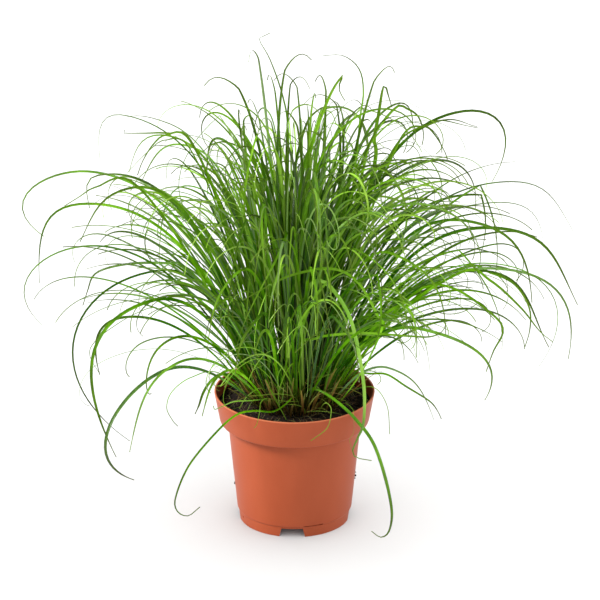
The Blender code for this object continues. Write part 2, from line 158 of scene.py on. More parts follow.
class Sketch:
    """A material's nodes under construction, round its one Principled shader."""

    def __init__(self, name: str) -> None:
        """Start a material with that name.

        Args:
            name: The material's name.
        """
        self.material = bpy.data.materials.new(name)
        self.material.use_nodes = True
        self.tree = self.material.node_tree
        self.shader = self.tree.nodes["Principled BSDF"]

    def node(self, kind: str, **settings: object) -> bpy.types.Node:
        """Add a node and set its properties.

        Args:
            kind: The node's type.
            settings: Its properties.

        Returns:
            The new node.
        """
        made = self.tree.nodes.new(kind)
        for name, value in settings.items():
            setattr(made, name, value)
        return made

    def feed(self, socket: Socket, value: object) -> None:
        """Link an output to a socket, or set the socket to a plain number or colour.

        Args:
            socket: The socket to fill.
            value: An output, or a number or colour.
        """
        if isinstance(value, Socket):
            # Build the studio, the pot, the soil and the plant, and log each piece's face count.
            self.tree.links.new(value, socket)
        elif isinstance(value, tuple) and len(value) == 3 and socket.type == "RGBA":
            socket.default_value = (*value, 1)
        else:
            socket.default_value = value

    def set(self, **values: float) -> None:
        """Set plain numbers on the shader's own sockets, named with _ for a space."""
        for name, value in values.items():
            self.shader.inputs[name.replace("_", " ")].default_value = value

    def attribute(self, name: str, part: str = "Fac") -> Socket:
        """The value of a mesh attribute."""
        return self.node("ShaderNodeAttribute", attribute_name=name).outputs[part]

    def side(self, facing: Socket) -> Socket:
        """1 where the surface looks along a direction, -1 where it looks against it.

        Args:
            facing: The direction.

        Returns:
            The result.
        """
        made = self.node("ShaderNodeVectorMath", operation="DOT_PRODUCT")
        self.feed(made.inputs[0], self.node("ShaderNodeNewGeometry").outputs["Normal"])
        self.feed(made.inputs[1], facing)
        return made.outputs["Value"]

    def place(self, stretch: tuple[float, float, float] = (1, 1, 1)) -> Socket:
        """Object coordinates, stretched along each axis.

        Args:
            stretch: The factor along each axis.

        Returns:
            The coordinates.
        """
        mapping = self.node("ShaderNodeMapping")
        self.feed(mapping.inputs["Vector"], self.node("ShaderNodeTexCoord").outputs["Object"])
        mapping.inputs["Scale"].default_value = stretch
        return mapping.outputs["Vector"]

    def noise(self, where: Socket, scale: float, detail: float = 3) -> Socket:
        """Noise with so many lumps to a metre.

        Args:
            where: The coordinates.
            scale: Lumps to a metre.
            detail: How many finer layers it has.

        Returns:
            The result.
        """
        made = self.node("ShaderNodeTexNoise")
        self.feed(made.inputs["Vector"], where)
        made.inputs["Scale"].default_value = scale
        made.inputs["Detail"].default_value = detail
        return made.outputs["Fac"]

    def levels(self, value: Socket, source: Span, target: Span = (0, 1)) -> Socket:
        """A value taken from one range to another, and held there.

        Args:
            value: The value.
            source: The range it comes from.
            target: The range it goes to.

        Returns:
            The result.
        """
        made = self.node("ShaderNodeMapRange", clamp=True)
        self.feed(made.inputs["Value"], value)
        made.inputs["From Min"].default_value, made.inputs["From Max"].default_value = source
        made.inputs["To Min"].default_value, made.inputs["To Max"].default_value = target
        return made.outputs["Result"]

    def math(self, operation: str, first: object, second: object = 0.0) -> Socket:
        """A sum, product or the like of one or two values.

        Args:
            operation: The operation's name.
            first: A number or output.
            second: Another.

        Returns:
            The result.
        """
        made = self.node("ShaderNodeMath", operation=operation)
        self.feed(made.inputs[0], first)
        self.feed(made.inputs[1], second)
        return made.outputs["Value"]

    def blend(self, share: object, first: object, second: object, mode: str = "MIX") -> Socket:
        """Two colours mixed by a share from 0 to 1.

        Args:
            share: The share of the second colour.
            first: The first colour.
            second: The second colour.
            mode: The way in which they are mixed.

        Returns:
            The mixed colour.
        """
        made = self.node("ShaderNodeMix", data_type="RGBA", blend_type=mode)
        colours = [socket for socket in made.inputs if socket.type == "RGBA"]
        self.feed(made.inputs["Factor"], share)
        self.feed(colours[0], first)
        self.feed(colours[1], second)
        return next(socket for socket in made.outputs if socket.type == "RGBA")

    def bump(self, height: Socket, depth: float) -> None:
        """Give the shader a bump of that depth in metres.

        Args:
            height: The height, in units of the depth.
            depth: The length of a unit, in metres.
        """
        made = self.node("ShaderNodeBump")
        made.inputs["Distance"].default_value = depth
        self.feed(made.inputs["Height"], height)
        self.feed(self.shader.inputs["Normal"], made.outputs["Normal"])

    def paint(self, colour: Socket) -> None:
        """Feed the shader's base colour."""
        self.feed(self.shader.inputs["Base Color"], colour)


@dataclass(frozen=True)
class MouldedPlastic:
    """Thin terracotta-coloured plastic, a little uneven in colour and gloss from the mould; painted highlight
    on the lip.
    """

    colour: Colour = (0.345, 0.064, 0.020)
    faded: Colour = (0.400, 0.080, 0.028)
    dusty: Colour = (0.270, 0.064, 0.028)
    # lip: a painted highlight, lighter orange along the lip's top edge, at the heights that follow
    lip: Colour = (0.540, 0.150, 0.065)
    lip_highlight_heights: Span = (100.9 * MM, 101.8 * MM)
    cloud_scale: float = 22
    grain_scale: float = 1500
    grain_depth: float = 0.02 * MM
    roughness: Span = (0.40, 0.52)
    gloss: float = 0.20

    def material(self) -> bpy.types.Material:
        """Build the material.

        Returns:
            The new material.
        """
        sketch = Sketch("terracotta_plastic")
        clouds = sketch.noise(sketch.place((1, 1, 0.5)), self.cloud_scale, detail=4)
        grain = sketch.noise(sketch.place(), self.grain_scale, detail=2)
        colour = sketch.blend(sketch.levels(clouds, (0.35, 0.70)), self.colour, self.faded)
        specks = sketch.noise(sketch.place((1, 1, 3)), 9 * self.cloud_scale, detail=5)
        dust = sketch.levels(specks, (0.62, 0.80), (0, 0.25))
        colour = sketch.blend(dust, colour, self.dusty)
        parts = sketch.node("ShaderNodeSeparateXYZ")
        sketch.feed(parts.inputs["Vector"], sketch.place())
        # painted highlight: the lip's top edge is blended to the lighter lip colour
        sketch.paint(sketch.blend(sketch.levels(parts.outputs["Z"], self.lip_highlight_heights), colour, self.lip))
        sketch.feed(sketch.shader.inputs["Roughness"], sketch.levels(clouds, (0.3, 0.7), self.roughness))
        sketch.bump(grain, self.grain_depth)
        sketch.set(Specular_IOR_Level=self.gloss)
        return sketch.material


@dataclass(frozen=True)
class PottingMix:
    """Damp peat with bark and fibres in it."""

    name: str
    dark: Colour = (0.0045, 0.0030, 0.0022)
    warm: Colour = (0.024, 0.0125, 0.0065)
    pale: Colour = (0.220, 0.150, 0.085)
    lump_scale: float = 260
    grain_scale: float = 1400
    grain_depth: float = 0.8 * MM

    def material(self) -> bpy.types.Material:
        """Build the material.

        Returns:
            The new material.
        """
        sketch = Sketch(self.name)
        where = sketch.place()
        lumps = sketch.noise(where, self.lump_scale, detail=4)
        grains = sketch.noise(where, self.grain_scale)
        colour = sketch.blend(sketch.levels(lumps, (0.40, 0.66)), self.dark, self.warm)
        tone = sketch.levels(sketch.attribute("tone"), (0.72, 1.0), (0, 0.8))
        sketch.paint(sketch.blend(sketch.math("MULTIPLY", tone, grains), colour, self.pale))
        sketch.bump(sketch.math("ADD", lumps, grains), self.grain_depth)
        sketch.set(Roughness=0.9, Specular_IOR_Level=0.25)
        return sketch.material


@dataclass(frozen=True)
class LeafFinish:
    """A living blade: pale and brown at its foot, green along its length, and grey-yellow at its tip.

    The scrambles turn a blade's tint into two numbers of its own: one says how pale its underside is and
    which blades take the pale colour all over as a painted sheen, the other how glossy it is. low is the span
    of heights in which the shade near the soil fades out.
    """

    name: str = "sedge_leaf"
    deep: Colour = (0.014, 0.118, 0.0004)
    bright: Colour = (0.350, 0.930, 0.006)
    light: Colour = (0.420, 0.700, 0.090)
    # under: the paler underside, which is real, and also a painted sheen on every side of a few blades
    under: Colour = (0.300, 0.480, 0.200)
    foot: Colour = (0.120, 0.048, 0.015)
    pale_foot: Colour = (0.130, 0.150, 0.015)
    tip: Colour = (0.085, 0.100, 0.020)
    straw: Colour = (0.420, 0.285, 0.095)
    vein_count: float = 9
    vein_depth: float = 0.05 * MM
    blotch_scale: float = 55
    roughness: float = 0.25
    gloss: Span = (0.04, 1.00)
    spread: tuple[float, float] = (-8 * MM, 0.46)
    depth: Span = (100 * MM, 335 * MM)
    shade: Span = (0.10, 1.06)
    foot_shown: float = 1.0
    glow: float = 0.04
    glow_radius: float = 1.2 * MM
    glow_reach: Colour = (0.7, 1.0, 0.25)
    low: Span = (92 * MM, 125 * MM)
    low_shade: Span = (0.55, 1)
    underside_and_sheen_scramble: float = 53.0
    shine_scramble: float = 37.0

    def material(self) -> bpy.types.Material:
        """Build the material, which reads the attributes that the sweep keeps.

        Returns:
            The new material.
        """
        sketch = Sketch(self.name)
        blotches = sketch.noise(sketch.place(), self.blotch_scale, detail=2)
        uneven = sketch.levels(blotches, (0.3, 0.7), (-0.18, 0.18))
        tint = sketch.math("ADD", sketch.attribute("tint"), uneven)
        green = sketch.blend(sketch.levels(tint, (0.15, 0.95)), self.deep, self.bright)
        green = sketch.blend(sketch.levels(tint, (0.55, 1.0), (0, 0.9)), green, self.light)
        own = sketch.math("FRACT", sketch.math("MULTIPLY", sketch.attribute("tint"), self.underside_and_sheen_scramble))
        pale_underside_and_sheen = sketch.levels(sketch.side(sketch.attribute("facing", "Vector")), (-0.2, -0.6), (0, 1))
        pale_underside_and_sheen = sketch.math("MULTIPLY", pale_underside_and_sheen, sketch.levels(own, (0.6, 0.9), (0.05, 0.60)))
        # painted sheen: a few blades take the pale under colour on every side, standing in for reflected
        # light
        pale_underside_and_sheen = sketch.math("MAXIMUM", pale_underside_and_sheen, sketch.levels(own, (0.84, 0.88), (0, 0.6)))
        withering = sketch.levels(sketch.attribute("along"), (0.45, 1.0), (0, 0.88))
        fresh = sketch.levels(sketch.attribute("tint"), (0.6, 0.9), (1, 0.45))
        withering = sketch.math("MULTIPLY", withering, fresh)
        colour = sketch.blend(withering, sketch.blend(pale_underside_and_sheen, green, self.under), self.tip)
        foot = sketch.math("MULTIPLY", sketch.attribute("foot"), self.foot_shown)
        colour = sketch.blend(sketch.levels(foot, (0.0, 0.5)), colour, self.pale_foot)
        colour = sketch.blend(sketch.levels(foot, (0.45, 0.9)), colour, self.foot)
        colour = sketch.blend(sketch.attribute("dry"), colour, self.straw)
        across = sketch.math("MULTIPLY", sketch.attribute("across"), self.vein_count * math.pi)
        veins = sketch.math("SINE", across)
        colour = sketch.blend(sketch.levels(veins, (-1, 1), (0, 0.10)), colour, self.bright)
        sketch.paint(sketch.blend(1.0, colour, self.shading(sketch), "MULTIPLY"))
        sketch.bump(veins, self.vein_depth)
        shine = sketch.math("FRACT", sketch.math("MULTIPLY", sketch.attribute("tint"), self.shine_scramble))
        sketch.feed(sketch.shader.inputs["Specular IOR Level"], sketch.levels(shine, (0.55, 1.0), self.gloss))
        sketch.set(Roughness=self.roughness, Subsurface_Weight=self.glow, Subsurface_Scale=self.glow_radius)
        sketch.shader.inputs["Subsurface Radius"].default_value = self.glow_reach
        return sketch.material

    def shading(self, sketch: Sketch) -> Socket:
        """How much light gets to a place: all outside the clump, less towards its axis and its foot.

        Args:
            sketch: The material under construction.

        Returns:
            A grey to multiply the colour by.
        """
        parts = sketch.node("ShaderNodeSeparateXYZ")
        sketch.feed(parts.inputs["Vector"], sketch.place())
        x, y, z = parts.outputs
        square = sketch.math("ADD", sketch.math("POWER", x, 2.0), sketch.math("POWER", y, 2.0))
        reach = sketch.math("SQRT", square)
        clump = sketch.math("ADD", self.spread[0], sketch.math("MULTIPLY", z, self.spread[1]))
        aside = sketch.math("POWER", sketch.math("DIVIDE", reach, clump), 2.0)
        above = sketch.math("POWER", sketch.levels(z, self.depth, (0, 1.2)), 2.0)
        share = sketch.math("SQRT", sketch.math("ADD", aside, above))
        inner = sketch.levels(share, (0.42, 1.15), self.shade)
        low = sketch.levels(z, self.low, self.low_shade)
        grey = sketch.node("ShaderNodeCombineColor")
        for socket in grey.inputs[:3]:
            sketch.feed(socket, sketch.math("MULTIPLY", inner, low))
        return grey.outputs["Color"]


class GeometryTree:
    """A Geometry Nodes tree under construction, with named inputs."""

    def __init__(self, name: str) -> None:
        """Start a tree that takes and gives a geometry.

        Args:
            name: The tree's name.
        """
        self.tree = bpy.data.node_groups.new(name, "GeometryNodeTree")
        self.tree.interface.new_socket("Geometry", in_out="OUTPUT", socket_type="NodeSocketGeometry")
        self.names: dict[str, str] = {}
        self.add_input("Geometry", "NodeSocketGeometry")
        self.source = self.tree.nodes.new("NodeGroupInput")

    def add_input(self, name: str, kind: str) -> None:
        """Add a named input of a socket type."""
        socket = self.tree.interface.new_socket(name, in_out="INPUT", socket_type=kind)
        self.names[name] = socket.identifier

    def given(self, name: str) -> Socket:
        """The value of one of the tree's inputs."""
        return self.source.outputs[name]

    def feed(self, socket: Socket, value: object) -> None:
        """Link an output to a socket, or set the socket to a plain value.

        Args:
            socket: The socket to fill.
            value: An output to link, or a plain value.
        """
        if isinstance(value, Socket):
            self.tree.links.new(value, socket)
        else:
            socket.default_value = value

    def node(self, kind: str, settings: dict[str, object] | None = None, **inputs: object) -> bpy.types.Node:
        """Add a node.

        Args:
            kind: The node's type.
            settings: Its properties.
            inputs: Its sockets' values or links, by name, with _ for a space.

        Returns:
            The new node.
        """
        made = self.tree.nodes.new(kind)
        for name, value in (settings or {}).items():
            setattr(made, name, value)
        for name, value in inputs.items():
            self.feed(made.inputs[name.replace("_", " ")], value)
        return made

    def attribute(self, name: str, kind: str = "FLOAT") -> Socket:
        """The value of a named attribute."""
        made = self.node("GeometryNodeInputNamedAttribute", {"data_type": kind}, Name=name)
        return made.outputs["Attribute"]

    def compute(self, operation: str, first: object, second: object) -> Socket:
        """A sum, product or comparison of two values.

        Args:
            operation: The operation's name.
            first: A number or output.
            second: Another.

        Returns:
            The result.
        """
        made = self.node("ShaderNodeMath", {"operation": operation})
        for socket, value in zip(made.inputs, (first, second)):
            self.feed(socket, value)
        return made.outputs["Value"]

    def corner(self, forward: object, aside: float) -> Socket:
        """A point of a section: so far forward, towards the facing side, and so far aside."""
        return self.node("ShaderNodeCombineXYZ", X=forward, Y=aside).outputs["Vector"]

    def finish(self, geometry: Socket) -> None:
        """End the tree with its instances realized and the given material set.

        Args:
            geometry: What the tree has made.
        """
        realized = self.node("GeometryNodeRealizeInstances", Geometry=geometry)
        dressed = self.node(
            "GeometryNodeSetMaterial", Geometry=realized.outputs["Geometry"], Material=self.given("Material")
        )
        self.node("NodeGroupOutput", Geometry=dressed.outputs["Geometry"])

    def grow(self, mesh: Mesh, **values: object) -> Mesh:
        """Run the tree on a mesh.

        Args:
            mesh: What it starts from.
            values: The inputs' values, by name, with _ for a space.

        Returns:
            The plain mesh that it makes.
        """
        carrier = add_piece("carrier", mesh)
        modifier = carrier.modifiers.new("grow", "NODES")
        modifier.node_group = self.tree
        for name, value in values.items():
            modifier[self.names[name.replace("_", " ")]] = value
        made = evaluated_mesh(carrier)
        bpy.data.objects.remove(carrier)
        return made


class BladeSweep(GeometryTree):
    """Sweeps middle lines into blades with a folded section, and into round sheaths and threads.

    The lines are chains of edges. Their points carry facing (the direction that the blade's upper side
    looks), half_width, and round, which is 1 on a sheath or thread.
    """

    def __init__(self) -> None:
        """Build the tree."""
        super().__init__("blade_sweep")
        for name in ("Fold", "Thickness"):
            self.add_input(name, "NodeSocketFloat")
        self.add_input("Sides", "NodeSocketInt")
        self.add_input("Material", "NodeSocketMaterial")
        is_round = self.compute("GREATER_THAN", self.attribute("round"), 0.5)
        is_flat = self.compute("LESS_THAN", self.attribute("round"), 0.5)
        ring = self.node("GeometryNodeCurvePrimitiveCircle", Resolution=self.given("Sides"), Radius=1.0)
        joined = self.node("GeometryNodeJoinGeometry")
        for part in (self.swept(is_flat, self.section()), self.swept(is_round, ring.outputs["Curve"])):
            self.tree.links.new(part, joined.inputs["Geometry"])
        self.finish(joined.outputs["Geometry"])

    def section(self) -> Socket:
        """A blade's section, of half width 1: two halves folded forward at the midrib, with thin margins.

        Returns:
            The section's curve.
        """
        half = self.compute("MULTIPLY", self.given("Thickness"), 0.5)
        back = self.compute("MULTIPLY", half, -1.0)
        outline = self.node(
            "GeometryNodeCurvePrimitiveQuadrilateral",
            {"mode": "POINTS"},
            Point_1=self.corner(half, 0.0),
            Point_2=self.corner(self.given("Fold"), 1.0),
            Point_3=self.corner(back, 0.0),
            Point_4=self.corner(self.given("Fold"), -1.0),
        )
        corner = self.node("GeometryNodeInputPosition").outputs["Position"]
        aside = self.node("ShaderNodeSeparateXYZ", Vector=corner)
        stored = self.node(
            "GeometryNodeStoreNamedAttribute",
            {"data_type": "FLOAT", "domain": "POINT"},
            Geometry=outline.outputs["Curve"],
            Name="across",
            Value=aside.outputs["Y"],
        )
        return stored.outputs["Geometry"]

    def swept(self, chosen: Socket, section: Socket) -> Socket:
        """The chosen lines as solids with that section.

        Args:
            chosen: 1 on the lines to sweep.
            section: The section's curve.

        Returns:
            The solids' mesh.
        """
        line = self.node("GeometryNodeMeshToCurve", Mesh=self.given("Geometry"), Selection=chosen)
        turned = self.node(
            "GeometryNodeSetCurveNormal",
            {"mode": "FREE"},
            Curve=line.outputs["Curve"],
            Normal=self.attribute("facing", "FLOAT_VECTOR"),
        )
        solid = self.node(
            "GeometryNodeCurveToMesh",
            Curve=turned.outputs["Curve"],
            Profile_Curve=section,
            Scale=self.attribute("half_width"),
            Fill_Caps=True,
        )
        return solid.outputs["Mesh"]


class CrumbScatter(GeometryTree):
    """Scatters small rough lumps over a surface, sunk a little into it."""

    def __init__(self) -> None:
        """Build the tree."""
        super().__init__("crumb_scatter")
        for name in ("Density", "Smallest", "Largest"):
            self.add_input(name, "NodeSocketFloat")
        self.add_input("Seed", "NodeSocketInt")
        self.add_input("Material", "NodeSocketMaterial")
        points = self.node(
            "GeometryNodeDistributePointsOnFaces",
            {"distribute_method": "RANDOM"},
            Mesh=self.given("Geometry"),
            Density=self.given("Density"),
            Seed=self.given("Seed"),
        )
        lump = self.node("GeometryNodeMeshIcoSphere", Radius=1.0, Subdivisions=1)
        placed = self.node(
            "GeometryNodeInstanceOnPoints",
            Points=points.outputs["Points"],
            Instance=lump.outputs["Mesh"],
            Rotation=self.random("FLOAT_VECTOR", (0, 0, 0), (math.tau, math.tau, math.tau), 1),
            Scale=self.size(),
        )
        toned = self.node(
            "GeometryNodeStoreNamedAttribute",
            {"data_type": "FLOAT", "domain": "INSTANCE"},
            Geometry=placed.outputs["Instances"],
            Name="tone",
            Value=self.random("FLOAT", 0.0, 1.0, 2),
        )
        self.finish(toned.outputs["Geometry"])

    def random(self, kind: str, low: object, high: object, step: int) -> Socket:
        """A random value for each point, from the tree's seed and a step of its own.

        Args:
            kind: The value's type.
            low: The least value.
            high: The greatest value.
            step: What is added to the tree's seed.

        Returns:
            The result.
        """
        made = self.node("FunctionNodeRandomValue", {"data_type": kind})
        ends = [socket for socket in made.inputs if socket.enabled and socket.name in ("Min", "Max")]
        for socket, value in zip(ends, (low, high)):
            self.feed(socket, value)
        self.tree.links.new(self.compute("ADD", self.given("Seed"), step), made.inputs["Seed"])
        return next(socket for socket in made.outputs if socket.enabled)

    def size(self) -> Socket:
        """Uneven lengths along a lump's three axes, with many small lumps to a large one.

        Returns:
            The three lengths, as a vector.
        """
        share = self.compute("POWER", self.random("FLOAT", 0.0, 1.0, 3), 3.0)
        spread = self.compute("SUBTRACT", self.given("Largest"), self.given("Smallest"))
        length = self.compute("ADD", self.given("Smallest"), self.compute("MULTIPLY", share, spread))
        squash = self.random("FLOAT_VECTOR", (0.6, 0.6, 0.35), (1.4, 1.4, 0.9), 4)
        scaled = self.node("ShaderNodeVectorMath", {"operation": "SCALE"}, Vector=squash, Scale=length)
        return scaled.outputs["Vector"]


class MouldMark(NamedTuple):
    """A short slit or pit in the pot's outside, with its direction in degrees and its sizes in mm."""

    azimuth: float
    height: float
    length: float
    tall: float
    deep: float


@dataclass
class NurseryPot:
    """The thin-walled pot: lip, band, body and a foot ring with four notches and five drain holes."""

    rim_radius: float = 60 * MM
    height: float = 102 * MM
    wall: float = 1.4 * MM
    band_foot: tuple[float, float] = (55.8 * MM, 79.2 * MM)
    body_top_radius: float = 50 * MM
    body_foot: tuple[float, float] = (42.9 * MM, 8.8 * MM)
    foot_top_radius: float = 42.1 * MM
    foot_radius: float = 41.3 * MM
    floor_height: float = 7.2 * MM
    floor_thickness: float = 1.6 * MM
    notch_top_width: float = 16 * MM
    notch_foot_width: float = 19.4 * MM
    notch_height: float = 7.1 * MM
    notch_turn: float = math.radians(-2.5)
    drain_radius: float = 4.5 * MM
    drain_circle: float = 26 * MM
    marks: tuple[MouldMark, ...] = (
        MouldMark(-71.6, 9.1, 13.0, 0.55, 0.9),
        MouldMark(-62.6, 8.9, 3.6, 1.1, 0.9),
        MouldMark(203.4, 5.2, 1.8, 1.0, 0.9),
    )
    cutter_depth: float = 3 * MM
    steps: int = 144
    finish: MouldedPlastic = field(default_factory=MouldedPlastic)

    def body_radius(self, height: float) -> float:
        """The body's outer radius at a height."""
        share = (height - self.body_foot[1]) / (self.band_foot[1] - self.body_foot[1])
        return self.body_foot[0] + (self.body_top_radius - self.body_foot[0]) * share

    def band_radius(self, height: float) -> float:
        """The band's outer radius at a height."""
        share = (height - self.band_foot[1]) / (self.height - self.band_foot[1])
        return self.band_foot[0] + (self.rim_radius - self.band_foot[0]) * share

    def outline(self) -> list[tuple[float, float, float]]:
        """The wall's section as (radius, height, rounding), up its inside and down its outside.

        Returns:
            The section's corners, from the axis back to the axis.
        """
        wall, low, ledge = self.wall, self.floor_height, self.band_foot[1]
        floor = low + self.floor_thickness
        inside = [
            (0, floor, 0),
            (self.body_foot[0] - 2 * wall, floor, 0.4 * MM),
            (self.body_radius(self.body_foot[1] + wall) - wall, self.body_foot[1] + wall, 0.4 * MM),
            (self.body_radius(ledge) - wall, ledge + wall, 0.5 * MM),
            (self.band_foot[0] - 2 * wall, ledge + wall, 0.5 * MM),
            (self.band_radius(ledge + 2 * wall) - wall, ledge + 2 * wall, 0.5 * MM),
            (self.rim_radius - wall, self.height, 0.45 * MM),
        ]
        outside = [
            (self.rim_radius, self.height, 0.55 * MM),
            (*self.band_foot, 1.3 * MM),
            (self.body_radius(ledge) + 0.2 * MM, ledge, 0.5 * MM),
            (self.body_radius(ledge - 2 * MM), ledge - 2 * MM, 0.6 * MM),
            (*self.body_foot, 0.8 * MM),
            (self.foot_top_radius, self.body_foot[1] - 0.6 * MM, 0.3 * MM),
            (self.foot_radius, 0, 0.35 * MM),
        ]
        underside = [
            (self.foot_radius - wall, 0, 0.35 * MM),
            (self.foot_radius - wall, low, 0.5 * MM),
            (0, low, 0),
        ]
        return inside + outside + underside

    @staticmethod
    def rounded(outline: list[tuple[float, float, float]], steps: int = 4) -> list[Vector]:
        """An outline with its corners rounded.

        Args:
            outline: Corners as (radius, height, rounding).
            steps: Segments to each rounded corner.

        Returns:
            The points of the rounded outline, in the XZ plane.
        """
        spots = [Vector((r, 0, z)) for r, z, _ in outline]
        points = [spots[0]]
        for before, corner, after, (_, _, rounding) in zip(spots, spots[1:], spots[2:], outline[1:]):
            start = corner + (before - corner).normalized() * rounding
            end = corner + (after - corner).normalized() * rounding
            for i in range(steps + 1):
                t = i / steps
                points.append(start * (1 - t) ** 2 + corner * 2 * t * (1 - t) + end * t * t)
        return [*points, spots[-1]]

    def shell(self) -> Mesh:
        """The wall and floor as one turned solid.

        Returns:
            The solid's mesh.
        """
        points = self.rounded(self.outline())
        line = bpy.data.meshes.new("pot_outline")
        line.from_pydata(points, [(i, i + 1) for i in range(len(points) - 1)], [])
        carrier = add_piece("pot_outline", line)
        screw = carrier.modifiers.new("turn", "SCREW")
        screw.steps = screw.render_steps = self.steps
        screw.use_merge_vertices = True
        screw.merge_threshold = 0.01 * MM
        mesh = evaluated_mesh(carrier)
        bpy.data.objects.remove(carrier)
        return mesh

    def notch_bar(self, azimuth: float) -> bpy.types.Object:
        """A bar with a trapezoid section, straight across under the floor.

        Args:
            azimuth: Its direction, in radians.

        Returns:
            The bar.
        """
        bm = bmesh.new()
        bmesh.ops.create_cube(bm, size=1)
        spread = (self.notch_foot_width - self.notch_top_width) / self.notch_height
        for vert in bm.verts:
            z = self.notch_height if vert.co.z > 0 else -2 * MM
            width = self.notch_top_width + spread * (self.notch_height - z)
            vert.co = Vector((vert.co.x * 2 * self.rim_radius, vert.co.y * width, z))
        bar = add_piece("notch", mesh_from(bm, "notch"))
        bar.rotation_euler.z = azimuth
        return bar

    def drain(self, reach: float, azimuth: float) -> bpy.types.Object:
        """A cylinder through the floor.

        Args:
            reach: Its distance from the axis.
            azimuth: Its direction, in radians.

        Returns:
            The cylinder.
        """
        bm = bmesh.new()
        bmesh.ops.create_cone(
            bm, cap_ends=True, segments=24, radius1=self.drain_radius, radius2=self.drain_radius, depth=6 * MM
        )
        hole = add_piece("drain", mesh_from(bm, "drain"))
        hole.location = (reach * math.cos(azimuth), reach * math.sin(azimuth), self.floor_height)
        return hole

    def mark_cutter(self, mark: MouldMark) -> bpy.types.Object:
        """A small bar that cuts a mark into the wall.

        Args:
            mark: The mark.

        Returns:
            The bar.
        """
        bm = bmesh.new()
        bmesh.ops.create_cube(bm, size=1)
        bar = add_piece("mark", mesh_from(bm, "mark"))
        height = mark.height * MM
        radius = self.foot_radius if height < self.body_foot[1] - 1 * MM else self.foot_top_radius
        reach = radius * math.cos(0.5 * mark.length * MM / radius) - mark.deep * MM + self.cutter_depth / 2
        azimuth = math.radians(mark.azimuth)
        bar.location = (reach * math.cos(azimuth), reach * math.sin(azimuth), height)
        bar.scale = (self.cutter_depth, mark.length * MM, mark.tall * MM)
        bar.rotation_euler.z = azimuth
        return bar

    def build(self) -> bpy.types.Object:
        """Build the pot and hand it over.

        Returns:
            The finished piece.
        """
        pot = add_piece("nursery_pot", self.shell(), self.finish.material())
        cutters = [self.notch_bar(self.notch_turn + i * math.pi / 2) for i in range(2)]
        cutters.append(self.drain(0, 0))
        cutters += [self.drain(self.drain_circle, math.pi / 4 + i * math.pi / 2) for i in range(4)]
        cutters += [self.mark_cutter(mark) for mark in self.marks]
        for cutter in cutters:
            boolean = pot.modifiers.new("cut", "BOOLEAN")
            boolean.operation = "DIFFERENCE"
            boolean.object = cutter
        mesh = evaluated_mesh(pot)
        pot.modifiers.clear()
        pot.data = mesh
        for cutter in cutters:
            bpy.data.objects.remove(cutter)
        smooth(mesh, crease=38)
        hand_over(pot, Slot.POT, "pot")
        return pot


# each with its direction from the pot's axis in degrees, its height in mm and its size in mm
STRAY_CRUMBS = (
    (-3, 33.0, 1.7),
    (-5, 31.6, 1.2),
    (-2, 35.4, 1.0),
    (-7, 34.2, 0.8),
    (183, 26.6, 1.3),
    (184, 28.0, 0.8),
)


